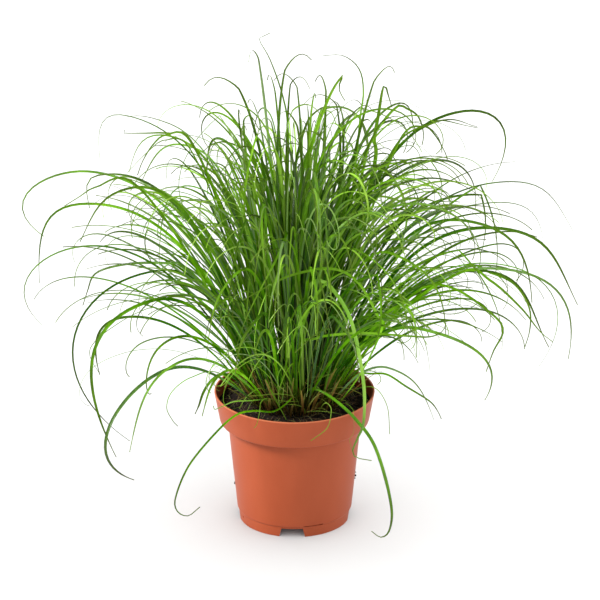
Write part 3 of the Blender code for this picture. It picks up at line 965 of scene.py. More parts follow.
@dataclass
class PottingSoil:
    """The potting mix: an uneven top with crumbs and fibres on it, down to the pot's floor."""

    pot: NurseryPot
    height: float = 93 * MM
    swell: float = 0.8 * MM
    sunk: float = 1.2 * MM
    lumps: float = 1.5 * MM
    lump_scale: float = 95
    grit_share: float = 0.35
    grit_scale: float = 420
    rings: int = 46
    steps: int = 150
    crumb_density: float = 170_000
    crumb_size: Span = (0.25 * MM, 1.9 * MM)
    fibre_count: int = 300
    seed: int = 7
    finish: PottingMix = field(default_factory=lambda: PottingMix("potting_mix"))

    def edge_radius(self) -> float:
        """How far the soil's top reaches: to the pot's inner wall."""
        return self.pot.band_radius(self.height) - self.pot.wall - GAP

    def level(self, x: float, y: float) -> float:
        """The height of the soil's top at a place, with a swell halfway out from the axis.

        Args:
            x: The place along X.
            y: The place along Y.

        Returns:
            The height.
        """
        reach = math.hypot(x, y) / self.edge_radius()
        swell = self.swell * math.sin(math.pi * reach)
        coarse = noise.noise(Vector((x, y, 0.3)) * self.lump_scale) * self.lumps
        fine = noise.noise(Vector((x, y, 5.1)) * self.grit_scale) * self.grit_share * self.lumps
        return self.height + swell + coarse + fine - self.sunk

    def top(self) -> Mesh:
        """The soil's top as a disc of its own, for scattering on.

        Returns:
            The disc's mesh.
        """
        bm = bmesh.new()
        edge = self.edge_radius()
        middle = bm.verts.new((0, 0, self.level(0, 0)))
        before = None
        for ring in range(1, self.rings + 1):
            reach = edge * ring / self.rings
            angles = [math.tau * i / self.steps for i in range(self.steps)]
            spots = [(reach * math.cos(a), reach * math.sin(a)) for a in angles]
            circle = [bm.verts.new((x, y, self.level(x, y))) for x, y in spots]
            for i in range(self.steps):
                after = (i + 1) % self.steps
                if before is None:
                    bm.faces.new((middle, circle[i], circle[after]))
                else:
                    bm.faces.new((before[i], circle[i], circle[after], before[after]))
            before = circle
        return mesh_from(bm, "soil_top")

    def body(self) -> Mesh:
        """The whole soil: its top closed by the sides and the underside that follow the pot's inner wall.

        Returns:
            The soil's mesh.
        """
        pot = self.pot
        inside = pot.wall + GAP
        ledge = pot.band_foot[1] + pot.wall + GAP
        low = pot.floor_height + pot.floor_thickness + GAP
        foot = pot.body_foot[1] + pot.wall
        outline = [
            (pot.band_radius(ledge + pot.wall) - inside, ledge + pot.wall),
            (pot.band_foot[0] - 2 * pot.wall - GAP, ledge),
            (pot.body_radius(pot.band_foot[1]) - inside, ledge),
            (pot.body_radius(foot) - inside, foot),
            (pot.body_foot[0] - 2 * pot.wall - GAP, low),
        ]
        bm = bmesh.new()
        bm.from_mesh(self.top())
        border = [edge for edge in bm.edges if edge.is_boundary]
        for radius, height in outline:
            made = bmesh.ops.extrude_edge_only(bm, edges=border)["geom"]
            for vert in (item for item in made if isinstance(item, bmesh.types.BMVert)):
                scale = radius / math.hypot(vert.co.x, vert.co.y)
                vert.co = Vector((vert.co.x * scale, vert.co.y * scale, height))
            border = [item for item in made if isinstance(item, bmesh.types.BMEdge)]
        bmesh.ops.contextual_create(bm, geom=border)
        bmesh.ops.recalc_face_normals(bm, faces=bm.faces)
        return mesh_from(bm, "soil")

    def fibre(self, rng: np.random.Generator) -> "Blade":
        """One root or bark fibre that lies curved on the soil.

        Args:
            rng: Where its random numbers come from.

        Returns:
            The fibre.
        """
        count = 9
        reach = self.edge_radius() * 0.97 * math.sqrt(rng.uniform(0.05, 1))
        place, heading = rng.uniform(0, math.tau), rng.uniform(0, math.tau)
        x, y = reach * math.cos(place), reach * math.sin(place)
        step = rng.uniform(4, 20) * MM / count
        turn = rng.normal(0, 0.16)
        lift = rng.uniform(0.2, 3.0) * MM
        points = []
        for i in range(count):
            arc = math.sin(math.pi * i / (count - 1))
            points.append((x, y, self.level(x, y) + 0.25 * MM + lift * arc**2))
            heading += turn
            x += step * math.cos(heading)
            y += step * math.sin(heading)
            if math.hypot(x, y) > self.edge_radius() * 0.985:
                x, y = x * 0.96, y * 0.96
        half_width, tint, dry = rng.uniform(0.08, 0.22) * MM, rng.uniform(0, 1), rng.uniform(0.1, 0.75)
        return Blade.thread(np.array(points), half_width, tint, dry)

    def build(self, sweep: BladeSweep) -> list[bpy.types.Object]:
        """Build the soil, its crumbs and its fibres, and hand them over.

        Args:
            sweep: The tree that makes the fibres.

        Returns:
            The finished pieces.
        """
        material = self.finish.material()
        soil = add_piece("potting_soil", self.body(), material)
        smooth(soil.data, crease=50)
        hand_over(soil, Slot.SOIL, "soil")
        crumbs = CrumbScatter().grow(
            self.top(),
            Density=self.crumb_density,
            Smallest=self.crumb_size[0],
            Largest=self.crumb_size[1],
            Seed=self.seed,
            Material=material,
        )
        crumbs = add_piece("soil_crumbs", crumbs)
        hand_over(crumbs, Slot.SOIL)
        rng = np.random.default_rng(self.seed)
        fibres = Bundle([self.fibre(rng) for _ in range(self.fibre_count)])
        fibres = fibres.piece("soil_fibres", sweep, FIBRE_FINISH.material())
        hand_over(fibres, Slot.SOIL)
        stray = add_piece("stray_crumbs", self.stray_crumbs(), material)
        hand_over(stray, Slot.SOIL)
        return [soil, crumbs, fibres, stray]

    def stray_crumbs(self) -> Mesh:
        """The few crumbs that stick to the pot's side.

        Returns:
            The crumbs' mesh.
        """
        bm = bmesh.new()
        rng = np.random.default_rng(self.seed)
        for azimuth, height, size in STRAY_CRUMBS:
            angle = math.radians(azimuth)
            reach = self.pot.body_radius(height * MM) + 0.2 * size * MM
            middle = Vector((reach * math.cos(angle), reach * math.sin(angle), height * MM))
            made = bmesh.ops.create_icosphere(bm, subdivisions=2, radius=0.5 * size * MM)["verts"]
            for vert in made:
                vert.co = middle + vert.co * rng.uniform(0.7, 1.2)
        return mesh_from(bm, "stray_crumbs")


class Blade(NamedTuple):
    """One swept line: a leaf blade, a sheath or a thread. The arrays have a row for each of its points."""

    points: np.ndarray
    facing: np.ndarray
    half_width: np.ndarray
    foot: np.ndarray
    dry: np.ndarray
    tint: float
    is_round: bool = False

    @classmethod
    def thread(cls, points: np.ndarray, radius: float, tint: float, dry: float) -> "Blade":
        """A round thread of one colour that thins towards its end.

        Args:
            points: Its middle line, root first.
            radius: Its radius at the root.
            tint: From 0, deep green, to 1, bright green.
            dry: From 0, alive, to 1, straw.

        Returns:
            The thread.
        """
        share = np.linspace(0, 1, len(points))
        facing = np.tile((0.0, 0.0, 1.0), (len(points), 1))
        widths = radius * (1 - 0.7 * share**2)
        foot, straw = np.zeros(len(points)), np.full(len(points), dry)
        return cls(points, facing, widths, foot, straw, tint, is_round=True)


class Bundle:
    """Swept lines that are built as one piece."""

    def __init__(self, blades: list[Blade]) -> None:
        """Hold the lines."""
        self.blades = blades

    def lines(self) -> Mesh:
        """All the middle lines as one mesh of edges, with what the sweep and the finish read.

        Returns:
            The mesh.
        """
        mesh = bpy.data.meshes.new("lines")
        edges, start = [], 0
        for blade in self.blades:
            edges += [(start + i, start + i + 1) for i in range(len(blade.points) - 1)]
            start += len(blade.points)
        mesh.from_pydata(np.concatenate([b.points for b in self.blades]).tolist(), edges, [])
        vectors = np.concatenate([b.facing for b in self.blades]).astype(np.float32)
        mesh.attributes.new("facing", "FLOAT_VECTOR", "POINT").data.foreach_set("vector", vectors.ravel())
        columns = {
            "half_width": [b.half_width for b in self.blades],
            "foot": [b.foot for b in self.blades],
            "dry": [b.dry for b in self.blades],
            "along": [LeafShape.runs(b.points) / LeafShape.runs(b.points)[-1] for b in self.blades],
            "tint": [np.full(len(b.points), b.tint) for b in self.blades],
            "round": [np.full(len(b.points), float(b.is_round)) for b in self.blades],
        }
        for name, rows in columns.items():
            numbers = np.concatenate(rows).astype(np.float32)
            mesh.attributes.new(name, "FLOAT", "POINT").data.foreach_set("value", numbers)
        return mesh

    def piece(self, name: str, sweep: BladeSweep, material: bpy.types.Material) -> bpy.types.Object:
        """Sweep the lines into one object.

        Args:
            name: The object's name.
            sweep: The tree that makes the blades.
            material: Their finish.

        Returns:
            The new object.
        """
        mesh = sweep.grow(self.lines(), Fold=0.42, Thickness=0.20, Sides=5, Material=material)
        smooth(mesh, crease=24)
        return add_piece(name, mesh)


LEAF_FINISH = LeafFinish()
THREAD_FINISH = LeafFinish(
    name="sedge_thread", bright=(0.420, 0.640, 0.060), foot_shown=0.3, shade=(0.85, 1.0)
)
SHEATH_FINISH = LeafFinish(
    name="sedge_sheath", foot=(0.330, 0.140, 0.045), pale_foot=(0.330, 0.300, 0.055), shade=(0.55, 1.0)
)
FIBRE_FINISH = LeafFinish(
    name="root_fibre",
    deep=(0.030, 0.017, 0.009),
    bright=(0.120, 0.062, 0.026),
    tip=(0.060, 0.035, 0.018),
    straw=(0.420, 0.280, 0.140),
    shade=(0.8, 1.0),
    roughness=0.8,
    glow=0.0,
)


class Turn(NamedTuple):
    """How a blade is turned about its line: at its root, and how much further at its tip, in radians.

    A plain blade's upper side looks up and inwards. One that is shown to the front looks there instead.
    """

    roll: float
    twist: float
    to_front: bool = False


class LeafShape:
    """Rules for a single blade's width, foot colour and twist."""

    front = np.array((0.0, -0.9, 0.43))

    foot_length = 30 * MM
    narrow_foot = 0.45
    open_from = 0.45
    tip_half_width = 0.34 * MM

    @classmethod
    def half_widths(cls, share: np.ndarray, width: float, fullness: float) -> np.ndarray:
        """Half the blade's width along it.

        Args:
            share: The share of the blade's length at each point.
            width: The greatest width.
            fullness: How far out it stays wide, from 2, for a blade that thins from its middle, upwards.

        Returns:
            Half widths: narrow at the foot, full near the middle, then drawn out to a hair.
        """
        opening = cls.narrow_foot + (1 - cls.narrow_foot) * np.clip(share / cls.open_from, 0, 1)
        taper = (1 - np.clip(share, 0, 1) ** fullness) ** 0.9
        return np.maximum(cls.tip_half_width, 0.5 * width * opening * taper)

    @staticmethod
    def runs(points: np.ndarray) -> np.ndarray:
        """The distance along the line from its root to each point."""
        return np.concatenate(([0], np.cumsum(np.linalg.norm(np.diff(points, axis=0), axis=1))))

    @classmethod
    def foot_share(cls, points: np.ndarray) -> np.ndarray:
        """How brown and pale each point is, from 1 at the soil to 0 above the foot."""
        return np.clip(1 - cls.runs(points) / cls.foot_length, 0, 1)

    @staticmethod
    def directions(points: np.ndarray) -> np.ndarray:
        """The unit direction of the line at each point."""
        steps = np.gradient(points, axis=0)
        return steps / np.maximum(np.linalg.norm(steps, axis=1, keepdims=True), 1e-9)

    @classmethod
    def facings(cls, points: np.ndarray, roll: np.ndarray, to_front: bool) -> np.ndarray:
        """Which way the upper side looks.

        Args:
            points: The middle line.
            roll: The turn about the line at each point, in radians.
            to_front: Whether it starts from a blade that is shown to the front, or from a plain one.

        Returns:
            A unit vector for each point, square to the line.
        """
        along = cls.directions(points)
        up = cls.shown(along) if to_front else cls.plain(along)
        side = np.cross(up, along)
        return up * np.cos(roll)[:, None] + side * np.sin(roll)[:, None]

    @classmethod
    def shown(cls, along: np.ndarray) -> np.ndarray:
        """The direction nearest to the front that is square to the line, at each point."""
        up = cls.front - along * (along @ cls.front)[:, None]
        return up / np.maximum(np.linalg.norm(up, axis=1, keepdims=True), 1e-9)

    @staticmethod
    def plain(along: np.ndarray) -> np.ndarray:
        """The direction up and inwards that is square to the line, at each point.

        Args:
            along: The line's direction at each point.

        Returns:
            A direction for each point.
        """
        side = np.zeros_like(along)
        last = np.array((1.0, 0.0, 0.0))
        for i, step in enumerate(along):
            level = np.array((-step[1], step[0], 0.0))
            length = np.linalg.norm(level)
            level = level / length if length > 0.05 else last
            last = level if np.dot(level, last) >= 0 or i == 0 else -level
            side[i] = last
        up = np.cross(along, side)
        return up / np.maximum(np.linalg.norm(up, axis=1, keepdims=True), 1e-9)


class ArchingLeaf(NamedTuple):
    """One leaf that rises from the clump, arches over and hangs, in mm and degrees, as its solid does.

    azimuth is its direction at the root, from +X towards +Y, and swing how far its tip has turned from
    that. lean is 0 for a leaf that leaves the soil upright and 1 for one that heads straight for its
    crest. Reach is the distance from the pot's axis. turn is the tip's direction: 0 is level and
    outwards, 90 straight down and 180 level and inwards. hook says how wide the end bends.
    """

    azimuth: float
    swing: float
    lean: float
    crest_reach: float
    crest_height: float
    tip_reach: float
    tip_height: float
    turn: float
    hook: float


ARCHING_LEAVES = (
    # right side, from the right round to the back
    ArchingLeaf(4, -2, 0.45, 134, 196, 190, 134, 62, 0.40),
    ArchingLeaf(12, 0, 0.25, 156, 257, 213, 212, 62, 0.45),
    ArchingLeaf(20, 2, 0.35, 144, 231, 202, 184, 88, 0.50),
    ArchingLeaf(28, 0, 0.10, 138, 300, 168, 238, 125, 0.65),
    ArchingLeaf(44, 0, 0.20, 146, 277, 192, 261, 20, 0.30),
    ArchingLeaf(51, 3, 0.20, 120, 292, 152, 250, 88, 0.50),
    # back
    ArchingLeaf(59, 0, 0.30, 148, 244, 194, 196, 80, 0.50),
    ArchingLeaf(67, 0, 0.40, 120, 214, 182, 134, 86, 0.50),
    ArchingLeaf(75, -4, 0.25, 128, 270, 178, 216, 78, 0.50),
    ArchingLeaf(83, 2, 0.35, 110, 248, 160, 176, 96, 0.55),
    ArchingLeaf(91, 0, 0.50, 124, 190, 184, 118, 80, 0.45),
    ArchingLeaf(99, 3, 0.25, 100, 284, 158, 240, 64, 0.40),
    ArchingLeaf(107, 0, 0.40, 128, 226, 188, 160, 72, 0.45),
    ArchingLeaf(115, -2, 0.35, 116, 256, 170, 196, 92, 0.55),
    ArchingLeaf(123, 4, 0.45, 118, 222, 172, 130, 96, 0.55),
    # left side
    ArchingLeaf(131, 0, 0.30, 110, 262, 178, 214, 60, 0.40),
    ArchingLeaf(139, -3, 0.20, 128, 282, 186, 268, 30, 0.30),
    ArchingLeaf(147, 0, 0.12, 147, 290, 174, 248, 98, 0.60),
    ArchingLeaf(155, 2, 0.15, 103, 290, 134, 256, 75, 0.40),
    ArchingLeaf(163, 3, 0.30, 158, 261, 193, 207, 150, 0.75),
    ArchingLeaf(171, 0, 0.35, 149, 243, 193, 176, 92, 0.55),
    ArchingLeaf(179, -3, 0.50, 118, 160, 146, 110, 104, 0.55),
    ArchingLeaf(186, 2, 0.45, 154, 226, 188, 166, 135, 0.65),
    ArchingLeaf(193, 0, 0.40, 99, 209, 126, 73, 140, 0.70),
    ArchingLeaf(201, 3, 0.35, 156, 300, 163, 276, 100, 0.40),
    ArchingLeaf(209, 0, 0.40, 136, 292, 178, 258, 60, 0.40),
    ArchingLeaf(217, 2, 0.50, 132, 209, 168, 95, 115, 0.70),
    ArchingLeaf(225, 0, 0.60, 134, 160, 166, 82, 150, 0.85),
    ArchingLeaf(233, -2, 0.60, 138, 172, 190, 118, 76, 0.45),
    ArchingLeaf(240, 2, 0.60, 110, 158, 143, 137, 50, 0.40),
    # front
    ArchingLeaf(248, 0, 0.30, 112, 240, 168, 196, 78, 0.50),
    ArchingLeaf(256, -3, 0.45, 96, 202, 146, 176, 92, 0.50),
    ArchingLeaf(264, 2, 0.25, 104, 262, 162, 224, 80, 0.50),
    ArchingLeaf(272, 0, 0.45, 112, 216, 182, 186, 72, 0.45),
    ArchingLeaf(280, -4, 0.35, 88, 236, 150, 200, 90, 0.55),
    ArchingLeaf(288, 0, 0.50, 98, 200, 152, 172, 84, 0.50),
    ArchingLeaf(298, 4, 0.30, 96, 250, 156, 202, 92, 0.50),
    ArchingLeaf(308, 0, 0.40, 106, 214, 160, 172, 80, 0.50),
    # front right
    ArchingLeaf(315, -3, 0.35, 104, 244, 164, 200, 84, 0.50),
    ArchingLeaf(320, 0, 0.55, 92, 146, 134, 116, 64, 0.45),
    ArchingLeaf(328, 3, 0.45, 108, 176, 160, 128, 120, 0.65),
    ArchingLeaf(336, 0, 0.30, 138, 262, 190, 206, 86, 0.50),
    ArchingLeaf(343, -2, 0.40, 158, 224, 190, 148, 122, 0.65),
    ArchingLeaf(350, 0, 0.30, 150, 244, 212, 187, 64, 0.45),
    ArchingLeaf(357, 0, 0.45, 144, 204, 204, 132, 100, 0.55),
)


class Route(NamedTuple):
    """A leaf that follows points of its own, in mm, with its width at the middle in mm.

    tint is its green, from 0, deep, to 1, bright.
    """

    name: str
    width: float
    points: tuple[tuple[float, float, float], ...]
    tint: float = 0.5


SOLID_ROUTES = (
    Route("trailing_leaf_left", 1.6, ((2, -26, 94), (3, -28, 108), (1, -33, 114), (-6, -40, 109),
          (-16, -46, 105), (-30, -49, 107), (-43, -52, 105), (-58, -57, 93), (-78, -63, 69), (-88, -67, 45),
          (-87, -70, 35), (-79, -70, 31), (-70, -67, 37)), 0.42),
    Route("trailing_leaf_right", 2.6, ((9, -25, 94), (9, -28, 109), (12, -34, 118), (21, -40, 118),
          (33, -47, 112), (45, -53, 102), (58, -62, 87), (67, -73, 64), (72, -81, 40), (70, -84, 25),
          (64, -84, 20), (57, -82, 24)), 0.4),
    Route("folded_leaf", 2.8, ((6, -20, 94), (6, -26, 130), (7, -33, 168), (11, -46, 205), (22, -53, 212),
          (36, -60, 197), (44, -65, 177), (51, -69, 137), (51, -70, 107), (47, -68, 94), (43, -66, 82),
          (46, -69, 78), (57, -72, 77)), 0.7),
)

LOOSE_ROUTES = (
    # the tall ones, with curled and kinked ends
    Route("tall_1", 2.0, ((-3, 2, 94), (-5, 5, 250), (-5, 5, 309), (-9, 6, 336), (-18, 6, 364),
          (-26, 6, 380), (-22, 6, 383), (-18, 6, 385))),
    Route("tall_2", 2.0, ((14, 4, 94), (37, 10, 211), (45, 14, 274), (49, 18, 316), (51, 20, 330),
          (50, 20, 345), (46, 18, 355), (39, 16, 362), (32, 14, 365), (21, 12, 365))),
    Route("tall_3", 3.0, ((1, 0, 94), (4, 0, 255), (14, -2, 303), (22, -4, 329), (29, -5, 346),
          (36, -6, 357), (33, -8, 351), (33, -9, 345), (37, -10, 338))),
    Route("tall_4", 3.0, ((18, 8, 94), (57, 20, 263), (59, 24, 294), (62, 27, 312), (65, 30, 331),
          (67, 31, 334), (69, 32, 327), (72, 33, 316))),
    Route("tall_5", 2.2, ((15, 10, 94), (49, 20, 263), (58, 30, 293), (75, 40, 313), (83, 46, 310),
          (92, 52, 301), (96, 56, 286), (95, 58, 276))),
    Route("tall_6", 1.8, ((20, 12, 94), (50, 22, 215), (78, 30, 291), (95, 40, 298), (104, 44, 290),
          (112, 48, 274), (114, 50, 266))),
    # the left side
    Route("left_1", 2.1, ((-20, -4, 94), (-50, -8, 235), (-76, -10, 306), (-93, -12, 313), (-109, -14, 314),
          (-125, -16, 315), (-124, -17, 318))),
    Route("left_2", 1.7, ((-18, 10, 94), (-48, 22, 220), (-77, 30, 290), (-95, 38, 292), (-105, 44, 282),
          (-113, 48, 267), (-117, 50, 255))),
    Route("left_3", 1.9, ((-20, -10, 94), (-48, -20, 228), (-76, -30, 307), (-94, -38, 318),
          (-106, -44, 312), (-122, -52, 298))),
    Route("left_4", 1.9, ((-24, -12, 94), (-72, -34, 215), (-117, -50, 289), (-144, -62, 291),
          (-156, -68, 286), (-167, -74, 281))),
    Route("left_5", 1.9, ((-24, -16, 94), (-58, -38, 152), (-96, -60, 192), (-114, -72, 196),
          (-137, -84, 186), (-148, -90, 177), (-149, -92, 169), (-143, -92, 157))),
    Route("left_loop", 0.8, ((-24, -18, 94), (-55, -40, 133), (-76, -56, 137), (-90, -66, 130),
          (-94, -70, 119), (-90, -70, 109), (-86, -68, 103))),
    # the right side
    Route("right_1", 1.9, ((18, 4, 94), (48, 8, 222), (74, 10, 294), (102, 20, 309), (111, 24, 309),
          (125, 28, 304), (136, 32, 300))),
    Route("right_2", 2.1, ((24, -10, 94), (74, -26, 172), (124, -40, 215), (144, -48, 211), (166, -56, 193),
          (180, -60, 176), (190, -62, 168))),
    Route("right_3", 1.9, ((26, 4, 94), (76, 8, 160), (125, 10, 197), (146, 14, 191), (164, 18, 180),
          (175, 22, 160), (176, 24, 141), (172, 24, 125))),
    Route("right_4", 2.0, ((22, -14, 94), (56, -28, 155), (92, -40, 200), (116, -50, 206), (144, -64, 192),
          (153, -68, 180), (146, -68, 163), (141, -66, 146))),
    Route("right_5", 1.6, ((28, -14, 94), (45, -20, 122), (58, -24, 126), (69, -28, 127), (83, -34, 120),
          (100, -40, 111), (106, -42, 104), (109, -44, 98))),
    # the front
    Route("front_broad", 2.0, ((2, -28, 94), (3, -38, 152), (17, -48, 165), (28, -54, 170), (51, -62, 175),
          (83, -72, 177), (99, -78, 179), (108, -82, 185), (111, -84, 193)), 0.6),
    Route("front_arch", 2.5, ((28, -24, 94), (50, -48, 138), (65, -60, 179), (61, -64, 191), (54, -68, 207),
          (46, -72, 221), (35, -74, 230), (22, -76, 233), (11, -78, 232), (-5, -82, 229), (-21, -86, 222),
          (-38, -90, 213)), 0.65),
    Route("front_wave_1", 1.4, ((3, -29, 94), (4, -36, 122), (3, -40, 138), (5, -44, 154), (9, -48, 174),
          (8, -50, 182), (5, -54, 201), (4, -58, 215)), 0.6),
    Route("front_wave_2", 1.4, ((-1, -27, 94), (-1, -36, 122), (-6, -42, 141), (-6, -46, 161),
          (-4, -50, 177), (3, -52, 193), (10, -52, 205), (9, -56, 223), (3, -58, 239)), 0.6),
    Route("front_drop", 1.2, ((-24, -16, 94), (-30, -21, 124), (-29, -25, 134), (-24, -30, 133),
          (-20, -36, 124), (-13, -44, 112), (-6, -52, 101)), 0.5),
    Route("foot_arch", 0.8, ((-16, -25, 94), (-17, -27, 106), (-20, -29, 114), (-27, -31, 117),
          (-36, -34, 111), (-41, -36, 103)), 1.0),
    Route("rim_drop", 0.9, ((-10, -28, 94), (-15, -34, 108), (-21, -40, 113), (-25, -45, 112),
          (-26, -52, 107), (-28, -58, 100), (-30, -60, 98)), 0.8),
    # over the left rim
    Route("left_short", 2.2, ((-24, -8, 94), (-38, -14, 112), (-49, -18, 122), (-56, -20, 123),
          (-63, -22, 118), (-68, -24, 110), (-71, -25, 101), (-74, -26, 94)), 0.2),
    Route("left_6", 2.0, ((-24, -2, 94), (-52, -6, 168), (-81, -8, 205), (-94, -10, 209), (-119, -10, 209),
          (-139, -10, 205), (-149, -10, 199), (-153, -10, 188), (-157, -10, 175)), 0.35),
    # fine hairs over the rim
    Route("rim_hair_1", 0.5, ((16, -29, 94), (22, -43, 110), (26, -51, 112), (27, -55, 108), (24, -58, 97),
          (12, -61, 88)), 0.95),
    Route("rim_hair_2", 0.5, ((30, -22, 94), (37, -33, 106), (43, -41, 105), (44, -43, 99), (44, -45, 88),
          (41, -48, 83), (43, -47, 74)), 0.95),
    Route("rim_hair_3", 0.5, ((32, -6, 94), (46, -8, 106), (60, -10, 108), (69, -14, 95),
          (71, -18, 74)), 0.9),
    Route("rim_hook", 0.9, ((-12, -27, 94), (-16, -33, 106), (-22, -38, 111), (-33, -44, 113),
          (-45, -46, 113), (-54, -44, 108), (-59, -42, 105), (-60, -40, 107)), 0.7),
)


class Shoot(NamedTuple):
    """A sheathed shoot: its place in the clump and the height of its tallest blade's tip, in mm.

    azimuth is the direction, in degrees, in which that blade stands out from the others.
    """

    x: float
    y: float
    height: float
    azimuth: float


SHOOTS = (
    Shoot(-9, -1, 390, 250),
    Shoot(5, 8, 352, 155),
    Shoot(6, -8, 344, 342),
    Shoot(22, 1, 362, 40),
    Shoot(13, 18, 338, 115),
    Shoot(-5, 22, 346, 320),
    Shoot(-21, 9, 328, 305),
    Shoot(-20, -11, 322, 80),
    Shoot(-4, -22, 318, 75),
    Shoot(15, -17, 330, 170),
)


class ShootBlade(NamedTuple):
    """A blade of every shoot: its share of the shoot's height, and how far its tip bends out, in mm."""

    height: float
    bend: float


SHOOT_BLADES = (
    ShootBlade(1.0, 14),
    ShootBlade(0.86, 36),
    ShootBlade(0.94, 26),
    ShootBlade(0.78, 44),
    ShootBlade(0.90, 30),
)


class Habit(NamedTuple):
    """How the leaves of one part of the clump grow. Each span is drawn from evenly, for each leaf.

    roots is how far out they stand, as a share of the clump. lean is their angle from upright above
    their foot and bend how much further they turn over, in degrees. late is 1 for a leaf that bends
    evenly and more for one that bends near its end. fill is how much of the dome's size they reach.
    sector is where they stand, in degrees from +X towards +Y.
    """

    name: str
    count: int
    roots: Span
    lean: Span
    bend: Span
    late: Span
    length: Span
    width: Span
    fill: Span
    tint: Span
    sector: Span = (0, 360)


HABITS = (
    Habit("heart_leaves", 210, (0.0, 0.75), (0, 17), (80, 190), (2.6, 5.2), (230, 320), (1.2, 2.5),
          (0.70, 0.96), (-0.1, 1.2)),
    Habit("middle_leaves", 60, (0.2, 1.0), (12, 32), (70, 150), (1.8, 3.6), (220, 310), (1.4, 2.4),
          (0.58, 0.98), (0.0, 0.6)),
    Habit("outer_leaves", 10, (0.55, 1.0), (34, 52), (60, 120), (1.8, 2.8), (160, 260), (1.2, 2.2),
          (0.5, 0.95), (0.0, 0.5)),
    Habit("right_leaves", 28, (0.4, 1.0), (18, 44), (60, 125), (1.5, 2.8), (190, 290), (1.4, 2.1),
          (0.80, 1.0), (0.0, 0.5), (-56, 48)),
    Habit("left_leaves", 18, (0.4, 1.0), (22, 42), (50, 115), (1.5, 2.8), (190, 290), (1.4, 2.1),
          (0.76, 1.0), (0.0, 0.5), (140, 236)),
    Habit("flank_leaves", 40, (0.75, 1.0), (12, 26), (45, 100), (1.8, 3.0), (170, 290), (1.5, 2.4),
          (0.55, 0.95), (-0.1, 0.9), (130, 250)),
    Habit("top_leaves", 14, (0.0, 0.5), (0, 12), (70, 200), (4.0, 8.0), (270, 330), (1.4, 2.4), (0.90, 1.0),
          (0.1, 0.8)),
    Habit("low_leaves", 14, (0.6, 1.0), (34, 68), (30, 130), (0.9, 1.9), (50, 120), (0.6, 1.4),
          (0.22, 0.46), (0.3, 1.0), (-100, 100)),
    Habit("fine_leaves", 64, (0.2, 1.0), (8, 55), (80, 200), (1.4, 3.0), (120, 260), (0.7, 1.0),
          (0.45, 0.95), (0.1, 0.8)),
    Habit("front_threads", 80, (0.2, 1.0), (5, 40), (90, 220), (1.4, 2.8), (110, 210), (0.5, 1.1),
          (0.40, 0.8), (0.6, 1.0), (246, 375)),
)


class Sparse(NamedTuple):
    """A part of the plant where few leaves grow: its span from left to right and the share that grows there.

    upright is its span in height, in mm, as seen from the front and above: a place further back looks higher.
    """

    aside: Span
    upright: Span
    kept: float


SPARSE = (
    Sparse((-150, -100), (288, 345), 0.25),
    Sparse((-104, -66), (292, 345), 0.60),
    Sparse((-104, -66), (256, 292), 0.25),
    Sparse((-132, -95), (222, 258), 0.60),
    Sparse((-110, -70), (127, 160), 0.40),
    Sparse((-134, -96), (184, 230), 0.35),
    Sparse((-135, -66), (150, 218), 0.50),
    Sparse((-110, -66), (90, 130), 0.25),
    Sparse((-48, -8), (305, 410), 0.50),
    Sparse((92, 170), (160, 235), 0.50),
    Sparse((75, 130), (290, 345), 0.60),
)


